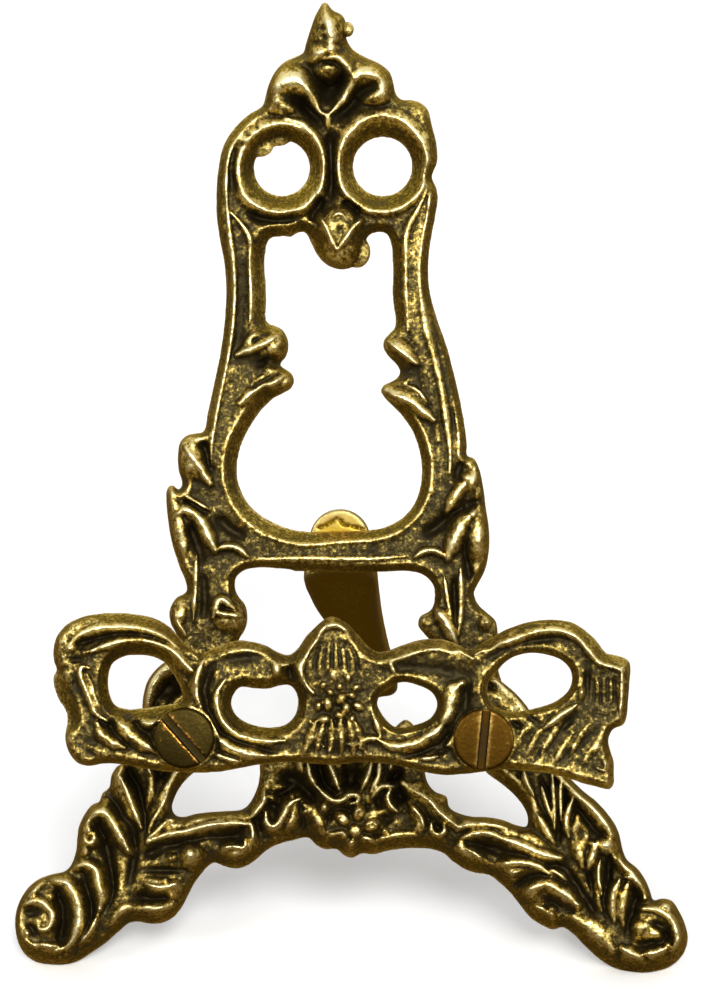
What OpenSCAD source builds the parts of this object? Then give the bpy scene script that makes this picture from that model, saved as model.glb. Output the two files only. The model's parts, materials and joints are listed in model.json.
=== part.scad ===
// Plate display stand: an openwork cast easel with a front ledge on two spacers and a
// hinged rear strut. Millimetres, +Z up, the front faces -Y.
//
// The castings are drawn flat in their own plane, as (u, v) points: u to the right, v up the
// slope from the feet. w is the height over the castings' flat back. on_plane() leans them back.

/* [Stance] */
// Backward lean of the castings, degrees from vertical
lean = 25; // [20:1:28]
// How far behind the front feet the strut's foot stands
strut_reach = 64; // [58:1:70]

/* [Castings] */
// Thickness of the upright casting
upright_t = 5; // [4:0.5:6]
// Thickness of the base casting, legs and garland
base_t = 8; // [7.5:0.5:9]
// Thickness of the upright's lugs where the base laps over them
lap_t = 3; // [2.5:0.5:3.5]
// Thickness of the front ledge
ledge_t = 5; // [4:0.5:6]
// Height of the raised ribs and collars over a casting's face
relief = 1.6; // [1:0.2:2]

/* [Ledge fixing] */
// Free width between the base and the ledge, where a plate's edge stands
plate_gap = 9; // [7:0.5:12]
// Half the distance between the two ledge screws
screw_u = 22; // [21.6:0.2:23]
// Height of the ledge screws up the slope
screw_v = 37.8; // [37:0.2:39]
// Radius of the screw shanks
screw_r = 2.45; // [2:0.05:2.5]
// Radius of the slotted screw heads
head_r = 4.45; // [4:0.05:4.8]
// Radius of the spacers
spacer_r = 4.2; // [3.5:0.1:4.2]

/* [Hinge] */
// Height of the hinge pin up the slope
hinge_v = 64.5; // [64:0.5:66]
// Distance of the hinge pin behind the castings' back
hinge_back = 5; // [5:0.2:6]
// Radius of the hinge pin
pin_r = 1.25; // [1:0.05:1.4]
// Thickness of the strut plate
strut_t = 3; // [2.5:0.25:3]

/* [Hidden] */
$fn = 64;
cast_brass = [0.55, 0.42, 0.18];
bright_brass = [0.78, 0.62, 0.28];

spans = 4;                 // straight steps per span of a smooth outline
embed = 1;                 // how deep a rib or boss sinks into its casting
hole_play = 0.15;          // radial play of a screw in its clearance holes
thread_play = 0.05;        // radial play of a screw in its nut
pin_play = 0.03;           // radial play of the hinge pin in the upright's ears
strut_play = 0.05;         // radial play of the hinge pin in the strut
ledge_w = base_t + plate_gap;          // back of the ledge
head_w = ledge_w + ledge_t;            // seat of the screw heads
head_t = 2;
slot_w = 1.3;
slot_depth = 1.1;
nut_t = 3.5;
nut_across_corners = 9.2;
tail = 0.7;                // screw thread left showing behind the nut
pad_r = 4.6;               // round pad of metal around each screw hole in the castings
pocket_v = 31.4;           // bottom of the pockets in the base's back, where the lugs lie
lap_v = 49;                // top of the lap: above it the upright has its full thickness
ear_gap = 5.2;             // half the space between the hinge ears
ear_t = 2.4;
ear_r = 3.2;
knuckle_r = 2.6;
knuckle_half = 5;
neck_half = 4.5;           // the strut's neck, where it runs into its knuckle
tab_r = 4.7;               // round tab that stops the strut against the crossbar
tab_t = 3.4;
tab_u = -0.5;
tab_v = 66.7;
stop_gap = 0.15;           // gap between that tab and the crossbar at rest
shoulder_s = 4;            // where the strut widens, below its pin

// The origin is on the table, under the middle of the stand's overall box.
origin_u = 1.25;
origin_y = 28.93;

hinge_y = hinge_v * sin(lean) + hinge_back * cos(lean);
hinge_z = hinge_v * cos(lean) - hinge_back * sin(lean);
strut_angle = atan((strut_reach - hinge_y) / hinge_z);
strut_len = norm([strut_reach - hinge_y, hinge_z]);

// ---- Curves ----

// One point of a Catmull-Rom span from b to c.
function on_span(a, b, c, d, t) =
    0.5 * (2 * b + (c - a) * t + (2 * a - 5 * b + 4 * c - d) * t * t
           + (3 * b - a - 3 * c + d) * t * t * t);

// A closed curve through the points p.
function smooth(p, n = spans) = [
    for (i = [0:len(p) - 1], k = [0:n - 1])
        on_span(p[(i + len(p) - 1) % len(p)], p[i], p[(i + 1) % len(p)],
                p[(i + 2) % len(p)], k / n)];

// An open curve through the points p, ends included.
function smooth_open(p, n = spans) = [
    for (i = [0:len(p) - 2], k = [0:(i == len(p) - 2 ? n : n - 1)])
        on_span(p[max(i - 1, 0)], p[i], p[i + 1], p[min(i + 2, len(p) - 1)], k / n)];

// The direction of travel at point i of an open curve.
function heading(p, i) = let (d = p[min(i + 1, len(p) - 1)] - p[max(i - 1, 0)]) d / norm(d);

// A raised rib that follows a curve and tapers to end_share of its width at both ends.
module rib(points, width, from_w, top_w, end_share = 0.35) {
    line = smooth_open(points);
    last = len(line) - 1;
    half = [for (i = [0:last]) width / 2 * (end_share + (1 - end_share) * sin(180 * i / last))];
    left = [for (i = [0:last]) let (h = heading(line, i)) line[i] + half[i] * [-h.y, h.x]];
    right = [for (i = [0:last]) let (h = heading(line, i)) line[i] - half[i] * [-h.y, h.x]];
    translate([0, 0, from_w])
        linear_extrude(top_w - from_w)
            polygon(concat(left, [for (i = [last:-1:0]) right[i]]));
}

// ---- Placing ----

module on_plane() {
    translate([-origin_u, -origin_y, 0]) rotate([90 - lean, 0, 0]) children();
}

// The strut's own plane at rest: +Y up the strut to the pin at the origin, +Z to its front.
module on_strut() {
    translate([-origin_u, hinge_y - origin_y, hinge_z])
        rotate([90 + strut_angle, 0, 0]) children();
}

module above_table() {
    intersection() {
        children();
        translate([-200, -200, 0]) cube([400, 400, 400]);
    }
}

// A bore or shaft along w, centred on a screw.
module at_screw(side) {
    translate([side * screw_u, screw_v, 0]) children();
}

// ---- Outlines ----

finial_right = [[-2.2, 150.3], [-1.1, 149], [0.3, 147.6], [0.9, 145.6], [1, 144.2], [2.2, 142.5],
                [4.2, 141.4], [6.4, 140.3], [7.7, 139], [8.2, 137.2], [9, 135.2]];
shoulder_right = [[10.4, 135], [12.2, 134.4], [13.4, 133.6], [14.2, 131.4], [14.8, 128.2],
                  [15, 125.8], [14.1, 122.9], [15, 121.2], [15.1, 118.8], [14.6, 115.5]];
rail_right = [[14, 111.5], [13.8, 106.5], [14.3, 103], [15.7, 99], [17.1, 94.4], [18.4, 88.6],
              [19.2, 83.6], [19.6, 80]];
leaf_right = [[20.6, 79.2], [21.6, 76.6], [22.3, 73.8], [22.7, 71], [23.1, 68], [22.9, 64.6],
              [22.2, 61.8], [21, 59.4], [20.9, 57.4], [22.4, 55.4], [24, 53.8]];
lug_right = [[24.2, 51], [24, 47.5], [25.6, 42.5], [26.6, 38], [25.8, 34.4], [22.8, 32.4],
             [19.6, 34], [18, 38.6], [16.6, 45], [14.4, 50]];
window_right = [[12.8, 52], [12.1, 53.8], [12.8, 55.2], [14.2, 56.2], [14.7, 58.4], [14.1, 60.3],
                [12.8, 61.4], [11, 61.8]];
window_left = [[-13.4, 62.1], [-15.4, 61.7], [-16.4, 60.4], [-16.3, 58.6], [-15.2, 57],
               [-14.6, 55.4], [-14.6, 53.6], [-15.4, 52.2]];
lug_left = [[-16.2, 49.5], [-17.2, 45], [-18, 38.6], [-19.6, 34], [-22.8, 32.4], [-25.8, 34.4],
            [-27, 38.6], [-27.2, 44], [-26.6, 49], [-26.2, 52.6]];
leaf_left = [[-26.8, 55], [-26.2, 57.2], [-24.6, 58.4], [-24.3, 60.2], [-25.8, 63.8],
             [-26.7, 67.6], [-27.2, 71.4], [-27.1, 74.4], [-26.3, 75.1], [-25, 74.2],
             [-25.5, 77.4], [-25.4, 80.6], [-24.7, 82.5], [-23.2, 83.5], [-21.7, 83.4]];
rail_left = [[-21, 86.6], [-20, 91], [-19, 95.6], [-18.3, 100], [-17.9, 105], [-18.2, 109.8],
             [-19, 113.2]];
shoulder_left = [[-19.5, 117.4], [-19.5, 121.4], [-19, 125.4], [-18, 129.2], [-15.8, 132.2],
                 [-13.6, 133.8], [-12, 134.8]];
finial_left = [[-11.5, 137], [-10.2, 139.5], [-8.4, 141.2], [-6.2, 142.1], [-5.8, 143.8],
               [-4.9, 146.8], [-4.2, 148.6], [-3.2, 149.9]];
upright_outline = concat(finial_right, shoulder_right, rail_right, leaf_right, lug_right,
                         window_right, window_left, lug_left, leaf_left, rail_left,
                         shoulder_left, finial_left);

// The upper window, clockwise from the beak: right rail, right leaves, U, left leaves, left rail.
beak = [[-5.4, 113.8], [-4.3, 111.4], [-2.4, 109.3], [-0.2, 108.4], [2.4, 109], [3.9, 110.8],
        [4.2, 113.2]];
inner_right = [[5.6, 114.2], [7.2, 113.7], [7.8, 111], [8, 106], [8.2, 100], [7.4, 98.6],
               [6.5, 97], [7, 95.4], [8.5, 93.7], [9, 92.5], [8, 91.2], [6.4, 90.5], [6.3, 89.2],
               [8.2, 86.7], [10.4, 83.8], [11.8, 80.4], [12.2, 77]];
u_bottom = [[11.9, 73.9], [10.9, 71.2], [9.2, 69.4], [6.4, 68.4], [0, 68], [-5.6, 68],
            [-9.2, 68.9], [-12.4, 70.8], [-14.8, 73.5]];
inner_left = [[-15.9, 76.6], [-15.8, 80.4], [-14.8, 83.6], [-12.8, 86.6], [-10.4, 88.8],
              [-8, 89.8], [-7.2, 91.2], [-7.8, 92.7], [-9.4, 93.7], [-8.4, 95.4], [-8.2, 97.6],
              [-9.2, 99.5], [-11.4, 100.2], [-11.3, 106], [-11.5, 111.6], [-10.6, 113.3],
              [-8.4, 113.5], [-6.8, 114.1]];
upright_window = concat(beak, inner_right, u_bottom, inner_left);

ring_left = [-9.5, 124.7];
ring_right = [6.5, 125];
ring_hole_r = 4.4;

leg_left = [[-20, 45.6], [-23, 47.8], [-26.2, 48.4], [-28.8, 47.2], [-30.8, 44.8], [-31.5, 41],
            [-32.8, 36.5], [-35.6, 31.6], [-36.4, 28.6], [-38, 26], [-40.2, 24.2], [-41.5, 20.6],
            [-41.9, 17.6], [-42.8, 15.4]];
foot_left = [[-45.4, 14.5], [-48.2, 13], [-50.2, 10.2], [-51.1, 6.6], [-50.4, 2.8], [-48, -0.1],
             [-44.4, -1.2], [-41, 0.2], [-37.4, 3.1], [-34.2, 6.5]];
under_left = [[-32, 7.1], [-29.4, 6.5], [-26.6, 7.5], [-24.6, 10], [-22.8, 13.4], [-20, 16.1],
              [-17, 15.4], [-14, 16.7], [-11, 18.8], [-5.6, 20.3]];
under_middle = [[-4, 19.1], [-1.6, 18.7], [0, 18], [2, 17.2], [3.8, 17.8]];
under_right = [[7.4, 18.2], [11.4, 18.8], [15, 18.2], [18.2, 16], [21.4, 14.8], [24.4, 13.4],
               [27.4, 10.2], [30, 7.5], [33, 6.5], [36, 5.9]];
foot_right = [[39, 2.8], [42.6, 0.1], [46.8, -1.3], [50.6, -0.1], [53, 2.8], [53.6, 6.2],
              [52.8, 9.4], [50.6, 11.6], [48.1, 10.8]];
leg_right = [[47.4, 13.6], [45.8, 16.2], [43.8, 18.1], [43.2, 21], [41.6, 24], [38.8, 27.3],
             [36, 30.4], [32.8, 35.6], [29.4, 41], [26, 44.6], [22.4, 46.6], [19.4, 46.2],
             [17.6, 43.6]];
bay_right = [[18.6, 40.4], [20, 36.8], [22.4, 31.2], [25.4, 28.6], [28.2, 25.2], [28.8, 22.6],
             [26.4, 23.3], [23, 23.8], [19.4, 24.3], [16.8, 25.8], [16, 27.4], [13.8, 29]];
garland_top = [[12.8, 32], [11.4, 36.4], [9.2, 38.7], [7.2, 37.4], [4.6, 39.6], [0, 41],
               [-4.4, 39.4], [-7.6, 36.2], [-10.6, 34.6], [-12.4, 31.6]];
bay_left = [[-13.2, 27.8], [-14.8, 25], [-18, 24.5], [-22, 24], [-25.2, 23.7], [-26.4, 25.2],
            [-25.4, 27.8], [-23.2, 30.6], [-20.6, 36], [-19, 41]];
base_outline = concat(leg_left, foot_left, under_left, under_middle, under_right, foot_right,
                      leg_right, bay_right, garland_top, bay_left);

ledge_left_end = [[-20.6, 50.2], [-22.4, 52.6], [-25.4, 54.9], [-29.4, 56.1], [-34, 56.1],
                  [-38, 55.1], [-40.8, 52.9], [-41.7, 49.8], [-41.5, 48], [-41.8, 46],
                  [-40.8, 43.3], [-39.8, 41.2], [-39.8, 38], [-39, 35], [-36.8, 33.5]];
ledge_under = [[-33, 33.8], [-27, 33.2], [-20.6, 32.6], [-14.6, 33.1], [-8, 33.9], [0, 34.4],
               [5, 34.8], [11, 33.8], [17, 32.6], [24, 33.1], [31, 32.7], [36.6, 31.5],
               [40, 30.6]];
ledge_right_end = [[40.8, 31.4], [41, 34], [40.2, 37], [40.6, 39.2], [42.4, 40], [43, 42],
                   [43.3, 48.6], [42.4, 49.7], [40, 50.5], [38, 52.8], [35, 54.9], [31.4, 55.4],
                   [27, 54.4], [23, 52.8], [20.4, 50.5]];
ledge_top = [[17.4, 52.1], [13.8, 52.8], [10, 51.8], [7.4, 50.3], [5.4, 50.8], [3.2, 53.2],
             [1.4, 55], [-0.2, 55.6], [-1.8, 54.9], [-3.8, 52.3], [-5.6, 50.4], [-7.4, 50.1],
             [-10.4, 51.6], [-13.6, 52.3], [-17.6, 51.1]];
ledge_outline = concat(ledge_left_end, ledge_under, ledge_right_end, ledge_top);
loop_left = [[-33.3, 46], [-32.6, 48.8], [-29.8, 49.8], [-26.2, 48.9], [-23.6, 46.8],
             [-22.8, 44.6], [-24.6, 42.6], [-30.8, 42.1], [-32.8, 43.6]];
loop_right = [[22.9, 45.6], [23.8, 48], [26.4, 50], [30, 50.4], [33.6, 49.2], [34.9, 46.8],
              [33.6, 44.2], [30.4, 42.7], [25.8, 42.3], [23.4, 43.6]];
eye_left = [[-15, 43], [-13.8, 45.1], [-10.8, 44.9], [-7.4, 45.5], [-5.5, 43.8], [-6, 41],
            [-8.8, 39.6], [-12.4, 40], [-14.4, 41.4]];
eye_right = [[6.5, 43], [7.6, 45], [9.8, 46], [13, 45.4], [15, 43.6], [14.4, 41.4], [11.6, 40],
             [8.8, 39.4], [7, 41]];

// The strut, below its pin, in its own plane: a cabriole leg with a knee on its right.
strut_outline = [[-6.4, -shoulder_s], [-6.4, -10], [-4.9, -15.6], [-2.6, -21], [-0.4, -28],
                 [0.6, -35], [-0.4, -42], [-1.6, -49], [-2.2, -56], [-3.2, -62],
                 [-3.4, -strut_len - 2], [4.2, -strut_len - 2], [3.8, -61], [2.7, -55],
                 [2.5, -49], [3, -44.6], [4.6, -43], [7.3, -42], [7, -37], [6.1, -28],
                 [5.2, -16], [5.1, -shoulder_s]];

// ---- Parts ----

module upright_frame() {
    color(cast_brass) on_plane() {
        difference() {
            union() {
                difference() {
                    linear_extrude(upright_t) difference() {
                        polygon(smooth(upright_outline));
                        polygon(smooth(upright_window));
                    }
                    translate([-60, 0, lap_t]) cube([120, lap_v, upright_t]);
                }
                upright_relief();
                for (side = [-1, 1]) hinge_ear(side);
            }
            for (ring = [ring_left, ring_right])
                translate([ring.x, ring.y, -embed])
                    cylinder(r = ring_hole_r, h = upright_t + relief + 2 * embed);
            for (side = [-1, 1])
                at_screw(side) translate([0, 0, -embed])
                    cylinder(r = screw_r + hole_play, h = upright_t + 2 * embed);
            translate([-20, hinge_v, -hinge_back]) rotate([0, 90, 0])
                cylinder(r = pin_r + pin_play, h = 40);
        }
    }
}

// Collars around the two rings and ribs along the rails and the U.
module upright_relief() {
    low = upright_t - embed;
    high = upright_t + relief;
    for (ring = [ring_left, ring_right])
        translate([ring.x, ring.y, low]) cylinder(r1 = 7.3, r2 = 6.6, h = high - low);
    rib([[-15.6, 113], [-15, 104], [-16.6, 95], [-19.4, 84], [-19.6, 76], [-17, 70.6]], 1.6, low, high);
    rib([[11.4, 115], [11.2, 105], [13.2, 96], [16.2, 86], [16.6, 79], [14.4, 71.4]], 1.6, low, high);
    rib([[-9.4, 66.6], [-4, 65], [4, 65], [9, 66.6]], 1.4, low, high);
    rib([[-2.2, 147.6], [-2, 142], [-1.8, 136.8]], 3, low, high + relief);
    rib([[-1.8, 119], [-0.6, 115], [-0.2, 111.6]], 3.4, low, high + relief);
    rib([[-23.8, 79.6], [-21.6, 76.4], [-19.6, 71]], 2.4, low, high);
    rib([[21, 76.4], [19.8, 72], [17, 67.4]], 2.4, low, high);
    rib([[-25.2, 71], [-22.6, 68.6], [-20.4, 65]], 2.4, low, high);
}

module hinge_ear(side) {
    inner = side > 0 ? ear_gap : -ear_gap - ear_t;
    translate([inner, hinge_v, -hinge_back]) rotate([0, 90, 0]) cylinder(r = ear_r, h = ear_t);
    translate([inner, hinge_v - ear_r, -hinge_back])
        cube([ear_t, 2 * ear_r, hinge_back + embed]);
}

module leg_base() {
    color(cast_brass) above_table() on_plane() {
        difference() {
            union() {
                linear_extrude(base_t) {
                    polygon(smooth(base_outline));
                    for (side = [-1, 1]) at_screw(side) circle(r = pad_r);
                }
                base_relief();
            }
            // The pockets at the back that take the upright's lugs.
            translate([-60, pocket_v, -embed]) cube([46, 30, lap_t + embed]);
            translate([14, pocket_v, -embed]) cube([46, 30, lap_t + embed]);
            for (side = [-1, 1])
                at_screw(side) translate([0, 0, -embed])
                    cylinder(r = screw_r + hole_play, h = base_t + 2 * embed);
        }
    }
}

// Scroll eyes on the feet, ribs down the legs and a boss in the garland.
module base_relief() {
    low = base_t - embed;
    high = base_t + relief;
    translate([-45.8, 7, low]) cylinder(r1 = 4.4, r2 = 3.6, h = high - low);
    translate([48, 6.2, low]) cylinder(r1 = 4.4, r2 = 3.6, h = high - low);
    rib([[-28, 30], [-33, 21], [-36.4, 12], [-40, 4]], 3, low, high);
    rib([[30, 29], [34.4, 20], [38, 11], [42.6, 3.6]], 3, low, high);
    rib([[-33.6, 20], [-27, 19.6], [-19, 21.6]], 2.4, low, high);
    rib([[34.6, 18.6], [28, 20], [20, 20.4]], 2.4, low, high);
    translate([1.6, 22.4, low]) cylinder(r1 = 4, r2 = 3, h = high - low);
}

module front_ledge() {
    color(cast_brass) on_plane() {
        difference() {
            union() {
                translate([0, 0, ledge_w]) linear_extrude(ledge_t) difference() {
                    polygon(smooth(ledge_outline));
                    polygon(smooth(loop_left));
                    polygon(smooth(loop_right));
                    polygon(smooth(eye_left));
                    polygon(smooth(eye_right));
                }
                ledge_relief();
            }
            for (side = [-1, 1])
                at_screw(side) translate([0, 0, ledge_w - embed])
                    cylinder(r = screw_r + hole_play, h = ledge_t + 2 * embed);
        }
    }
}

// The shell and rosette in the middle and a rib round each loop.
module ledge_relief() {
    low = ledge_w + ledge_t - embed;
    high = ledge_w + ledge_t + relief;
    translate([0.4, 43.4, low]) cylinder(r1 = 4.8, r2 = 4.2, h = high - low);
    rib([[-3, 48], [-0.2, 54], [3, 48]], 1.2, low, high);
    rib([[-21.6, 49], [-25.6, 52.4], [-31, 53.4], [-36.6, 51.6], [-37.4, 46], [-35, 40]], 1.6, low, high);
    rib([[21.4, 49.4], [26, 52], [31.4, 53], [36.4, 50], [37.2, 45], [33, 41]], 1.6, low, high);
    rib([[-7, 47.6], [-13, 49.4], [-17.6, 46.6], [-17, 41], [-12, 37.4]], 1.6, low, high);
    rib([[8, 48.6], [14, 50], [17.8, 46], [16, 40.4], [10, 37]], 1.6, low, high);
}

module spacer(side) {
    color(bright_brass) on_plane() at_screw(side) translate([0, 0, base_t]) difference() {
        cylinder(r = spacer_r, h = plate_gap);
        translate([0, 0, -embed]) cylinder(r = screw_r + hole_play, h = plate_gap + 2 * embed);
    }
}

// A slotted screw from the ledge's front to just behind its nut.
module screw(side, slot_angle) {
    color(bright_brass) on_plane() at_screw(side) {
        translate([0, 0, -nut_t - tail]) cylinder(r = screw_r, h = head_w + nut_t + tail + embed);
        difference() {
            translate([0, 0, head_w]) cylinder(r = head_r, h = head_t);
            translate([0, 0, head_w + head_t]) rotate([0, 0, slot_angle])
                cube([3 * head_r, slot_w, 2 * slot_depth], center = true);
        }
    }
}

module nut(side) {
    color(bright_brass) on_plane() at_screw(side) translate([0, 0, -nut_t]) difference() {
        cylinder(d = nut_across_corners, h = nut_t, $fn = 6);
        translate([0, 0, -embed]) cylinder(r = screw_r + thread_play, h = nut_t + 2 * embed);
    }
}

module rear_strut() {
    color(bright_brass) above_table() difference() {
        union() {
            on_strut() translate([0, 0, -strut_t / 2])
                linear_extrude(strut_t) union() {
                    polygon(smooth(strut_outline));
                    translate([-neck_half, -shoulder_s - 1]) square([2 * neck_half, shoulder_s]);
                }
            on_plane() {
                translate([-knuckle_half, hinge_v, -hinge_back]) rotate([0, 90, 0])
                    cylinder(r = knuckle_r, h = 2 * knuckle_half);
                translate([tab_u, tab_v, -stop_gap - tab_t]) intersection() {
                    cylinder(r = tab_r, h = tab_t);
                    translate([-10, hinge_v - tab_v + 0.4, -1]) cube([20, 20, tab_t + 2]);
                }
            }
        }
        on_plane() translate([-20, hinge_v, -hinge_back]) rotate([0, 90, 0])
            cylinder(r = pin_r + strut_play, h = 40);
    }
}

// A pin with a flat head on the left and a smaller peened end on the right.
module hinge_pin() {
    reach = ear_gap + ear_t;
    color(bright_brass) on_plane() translate([0, hinge_v, -hinge_back]) rotate([0, 90, 0]) {
        translate([0, 0, -reach - 0.8]) cylinder(r = pin_r, h = 2 * reach + 1.4);
        translate([0, 0, -reach - 1]) cylinder(r = 2.1, h = 1);
        translate([0, 0, reach]) cylinder(r = 1.8, h = 0.8);
    }
}

upright_frame();
leg_base();
front_ledge();
spacer(-1);  // spacer_left
spacer(1);  // spacer_right
screw(-1, -52);  // screw_left
screw(1, 87);  // screw_right
nut(-1);  // nut_left
nut(1);  // nut_right
rear_strut();
hinge_pin();
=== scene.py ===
import json
import math

import bpy
import numpy as np
from mathutils import Matrix, Vector


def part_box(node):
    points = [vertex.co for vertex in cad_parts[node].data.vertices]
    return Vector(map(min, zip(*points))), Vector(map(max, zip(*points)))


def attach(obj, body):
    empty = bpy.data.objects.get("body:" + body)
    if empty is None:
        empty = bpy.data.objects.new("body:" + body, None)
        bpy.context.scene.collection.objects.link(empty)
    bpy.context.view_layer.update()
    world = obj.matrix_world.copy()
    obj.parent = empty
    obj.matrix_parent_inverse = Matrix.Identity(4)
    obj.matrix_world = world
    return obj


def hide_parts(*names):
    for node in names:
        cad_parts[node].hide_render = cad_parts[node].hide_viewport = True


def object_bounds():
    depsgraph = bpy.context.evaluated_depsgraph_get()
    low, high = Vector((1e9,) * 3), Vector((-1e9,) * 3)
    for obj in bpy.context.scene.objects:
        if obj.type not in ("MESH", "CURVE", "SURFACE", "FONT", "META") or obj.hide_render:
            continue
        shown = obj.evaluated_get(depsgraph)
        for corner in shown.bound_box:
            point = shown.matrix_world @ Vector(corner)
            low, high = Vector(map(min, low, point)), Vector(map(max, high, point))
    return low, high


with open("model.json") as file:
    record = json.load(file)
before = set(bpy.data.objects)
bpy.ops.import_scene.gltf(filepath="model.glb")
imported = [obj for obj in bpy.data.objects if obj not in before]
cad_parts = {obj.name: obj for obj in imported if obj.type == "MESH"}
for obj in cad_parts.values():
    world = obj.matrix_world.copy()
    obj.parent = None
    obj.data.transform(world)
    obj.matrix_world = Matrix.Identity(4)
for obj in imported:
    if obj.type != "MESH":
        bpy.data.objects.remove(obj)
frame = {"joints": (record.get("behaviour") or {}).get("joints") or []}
cad_low, cad_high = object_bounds()

# The three castings are drawn as sheets: (u, v) in millimetres on their leaning plane, u to the
# right and v up the slope, with w the height over their flat back. place() turns them into metres.
MM = 0.001
LEAN = math.radians(25)
SPACER_MID_V = 37.8          # where the CAD's spacers sit on the plane
SPACER_MID_W = 12.5
FACE_W = 4                   # the upright and the base are drawn at this height
LEDGE_W = 22                 # and the ledge at this one, where its screws' heads begin
BASE_FACE = 8                # the base's flats, which the spacers stand on
LEDGE_BACK = 17              # the ledge's back face, which lies on the spacers
SCREW_U = 22                 # the two ledge screws are this far either side of the middle
SCREW_R = 2.45
HINGE_V = 64.5               # the hinge pin, behind the castings' back
HINGE_W = -5
PIN_R = 1.25
# The castings taper toward this far point in front of them, as drafted patterns do.
APEX = np.array([20.7, 72.85, 353.5])

left_low, left_high = (np.array(c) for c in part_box("spacer_left"))
right_low, right_high = (np.array(c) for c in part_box("spacer_right"))
spacer_mid = (left_low + left_high + right_low + right_high) / 4 / MM
UP = np.array([0, math.sin(LEAN), math.cos(LEAN)])
OUT = np.array([0, -math.cos(LEAN), math.sin(LEAN)])
ACROSS = np.array([1, 0, 0])
ORIGIN = spacer_mid - SPACER_MID_V * UP - SPACER_MID_W * OUT


def place(points):
    """Plane points (u, v, w) in millimetres as row-frame points in metres."""
    u, v, w = np.asarray(points, float).T
    return (ORIGIN + np.outer(u, ACROSS) + np.outer(v, UP) + np.outer(w, OUT)) * MM


def taper(points, drawn_w):
    """Moves sheet points drawn at height drawn_w to where they are at their own height w."""
    points = np.array(points, float)
    share = (APEX[2] - points[:, 2]) / (APEX[2] - drawn_w)
    points[:, :2] = APEX[:2] + (points[:, :2] - APEX[:2]) * share[:, None]
    return points


# ---- Curves and fields ----

CURVE_STEP = 0.3


def curve(points, closed=False):
    """A smooth curve through the points, as points about CURVE_STEP apart."""
    p = np.array(points, float)
    if closed:
        p = np.vstack([p[-1:], p, p[:2]])
    else:
        p = np.vstack([2 * p[0] - p[1], p, 2 * p[-1] - p[-2]])
    out = []
    for before, a, b, after in zip(p[:-3], p[1:-2], p[2:-1], p[3:]):
        length = np.hypot(*(b - a))
        speed_a = (a - before) / max(np.hypot(*(a - before)), 1e-6) + (b - a) / max(length, 1e-6)
        speed_b = (b - a) / max(length, 1e-6) + (after - b) / max(np.hypot(*(after - b)), 1e-6)
        tangent_a, tangent_b = speed_a * length / 2, speed_b * length / 2
        t = np.linspace(0, 1, max(int(length / CURVE_STEP), 1) + 1)[:-1, None]
        out.append((2 * t**3 - 3 * t**2 + 1) * a + (t**3 - 2 * t**2 + t) * tangent_a
                   + (3 * t**2 - 2 * t**3) * b + (t**3 - t**2) * tangent_b)
    out.append(p[-2:-1])
    return np.vstack(out)


def circle(centre, radius, squash=1):
    """A closed circle, or an ellipse squash times as high."""
    angle = np.radians(np.linspace(0, 360, 48))
    return np.column_stack([centre[0] + radius * np.cos(angle),
                            centre[1] + radius * squash * np.sin(angle)])


def spiral(centre, start_r, end_r, start, turn):
    """A spiral from start_r to end_r, from the angle start through turn degrees."""
    share = np.linspace(0, 1, 40)
    angle = np.radians(start + turn * share)
    radius = start_r + (end_r - start_r) * share
    return np.column_stack([centre[0] + radius * np.cos(angle),
                            centre[1] + radius * np.sin(angle)])


def smooth_max(a, b, k):
    """The larger of two fields, blended where they are less than k apart."""
    h = np.clip(0.5 + 0.5 * (a - b) / k, 0, 1)
    return b + (a - b) * h + k * h * (1 - h)


def smooth_min(a, b, k):
    return -smooth_max(-a, -b, k)


def ease(x):
    """A smooth step from 0 at x = 0 to 1 at x = 1."""
    x = np.clip(x, 0, 1)
    return x * x * (3 - 2 * x)


def blur(field, sigmas):
    """Gaussian blur by Fourier transform; sigmas are in cells, one for each axis."""
    pads = [int(3 * s) + 1 for s in sigmas]
    padded = np.pad(field, [(p, p) for p in pads], mode="edge")
    spectrum = np.fft.rfftn(padded)
    for axis, sigma in enumerate(sigmas):
        n = padded.shape[axis]
        last = axis == field.ndim - 1
        freq = np.fft.rfftfreq(n) if last else np.fft.fftfreq(n)
        shape = [1] * field.ndim
        shape[axis] = -1
        spectrum = spectrum * np.exp(-2 * (math.pi * sigma * freq) ** 2).reshape(shape)
    back = np.fft.irfftn(spectrum, s=padded.shape)
    inner = tuple(slice(p, p + n) for p, n in zip(pads, field.shape))
    return back[inner].astype(np.float32)


def grain(rng, shape, sigma):
    """Smooth random noise of unit spread, sigma cells across."""
    noise = blur(rng.standard_normal(shape), [sigma] * len(shape))
    return noise / noise.std()


def spread(value, share):
    """A number, or a list spread evenly along a stroke, at each share of its length."""
    value = np.atleast_1d(np.asarray(value, float))
    return np.interp(share, np.linspace(0, 1, len(value)), value) if len(value) > 1 else value[0]


# ---- Sheets: a casting drawn as walls and a relief ----

PLUMPER = 1.35               # ridges are this much wider than they are drawn
SIDE_SLOPE = 2.5             # how steeply a ridge falls beyond its edges
BELOW = -9                   # a height under every face


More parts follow.
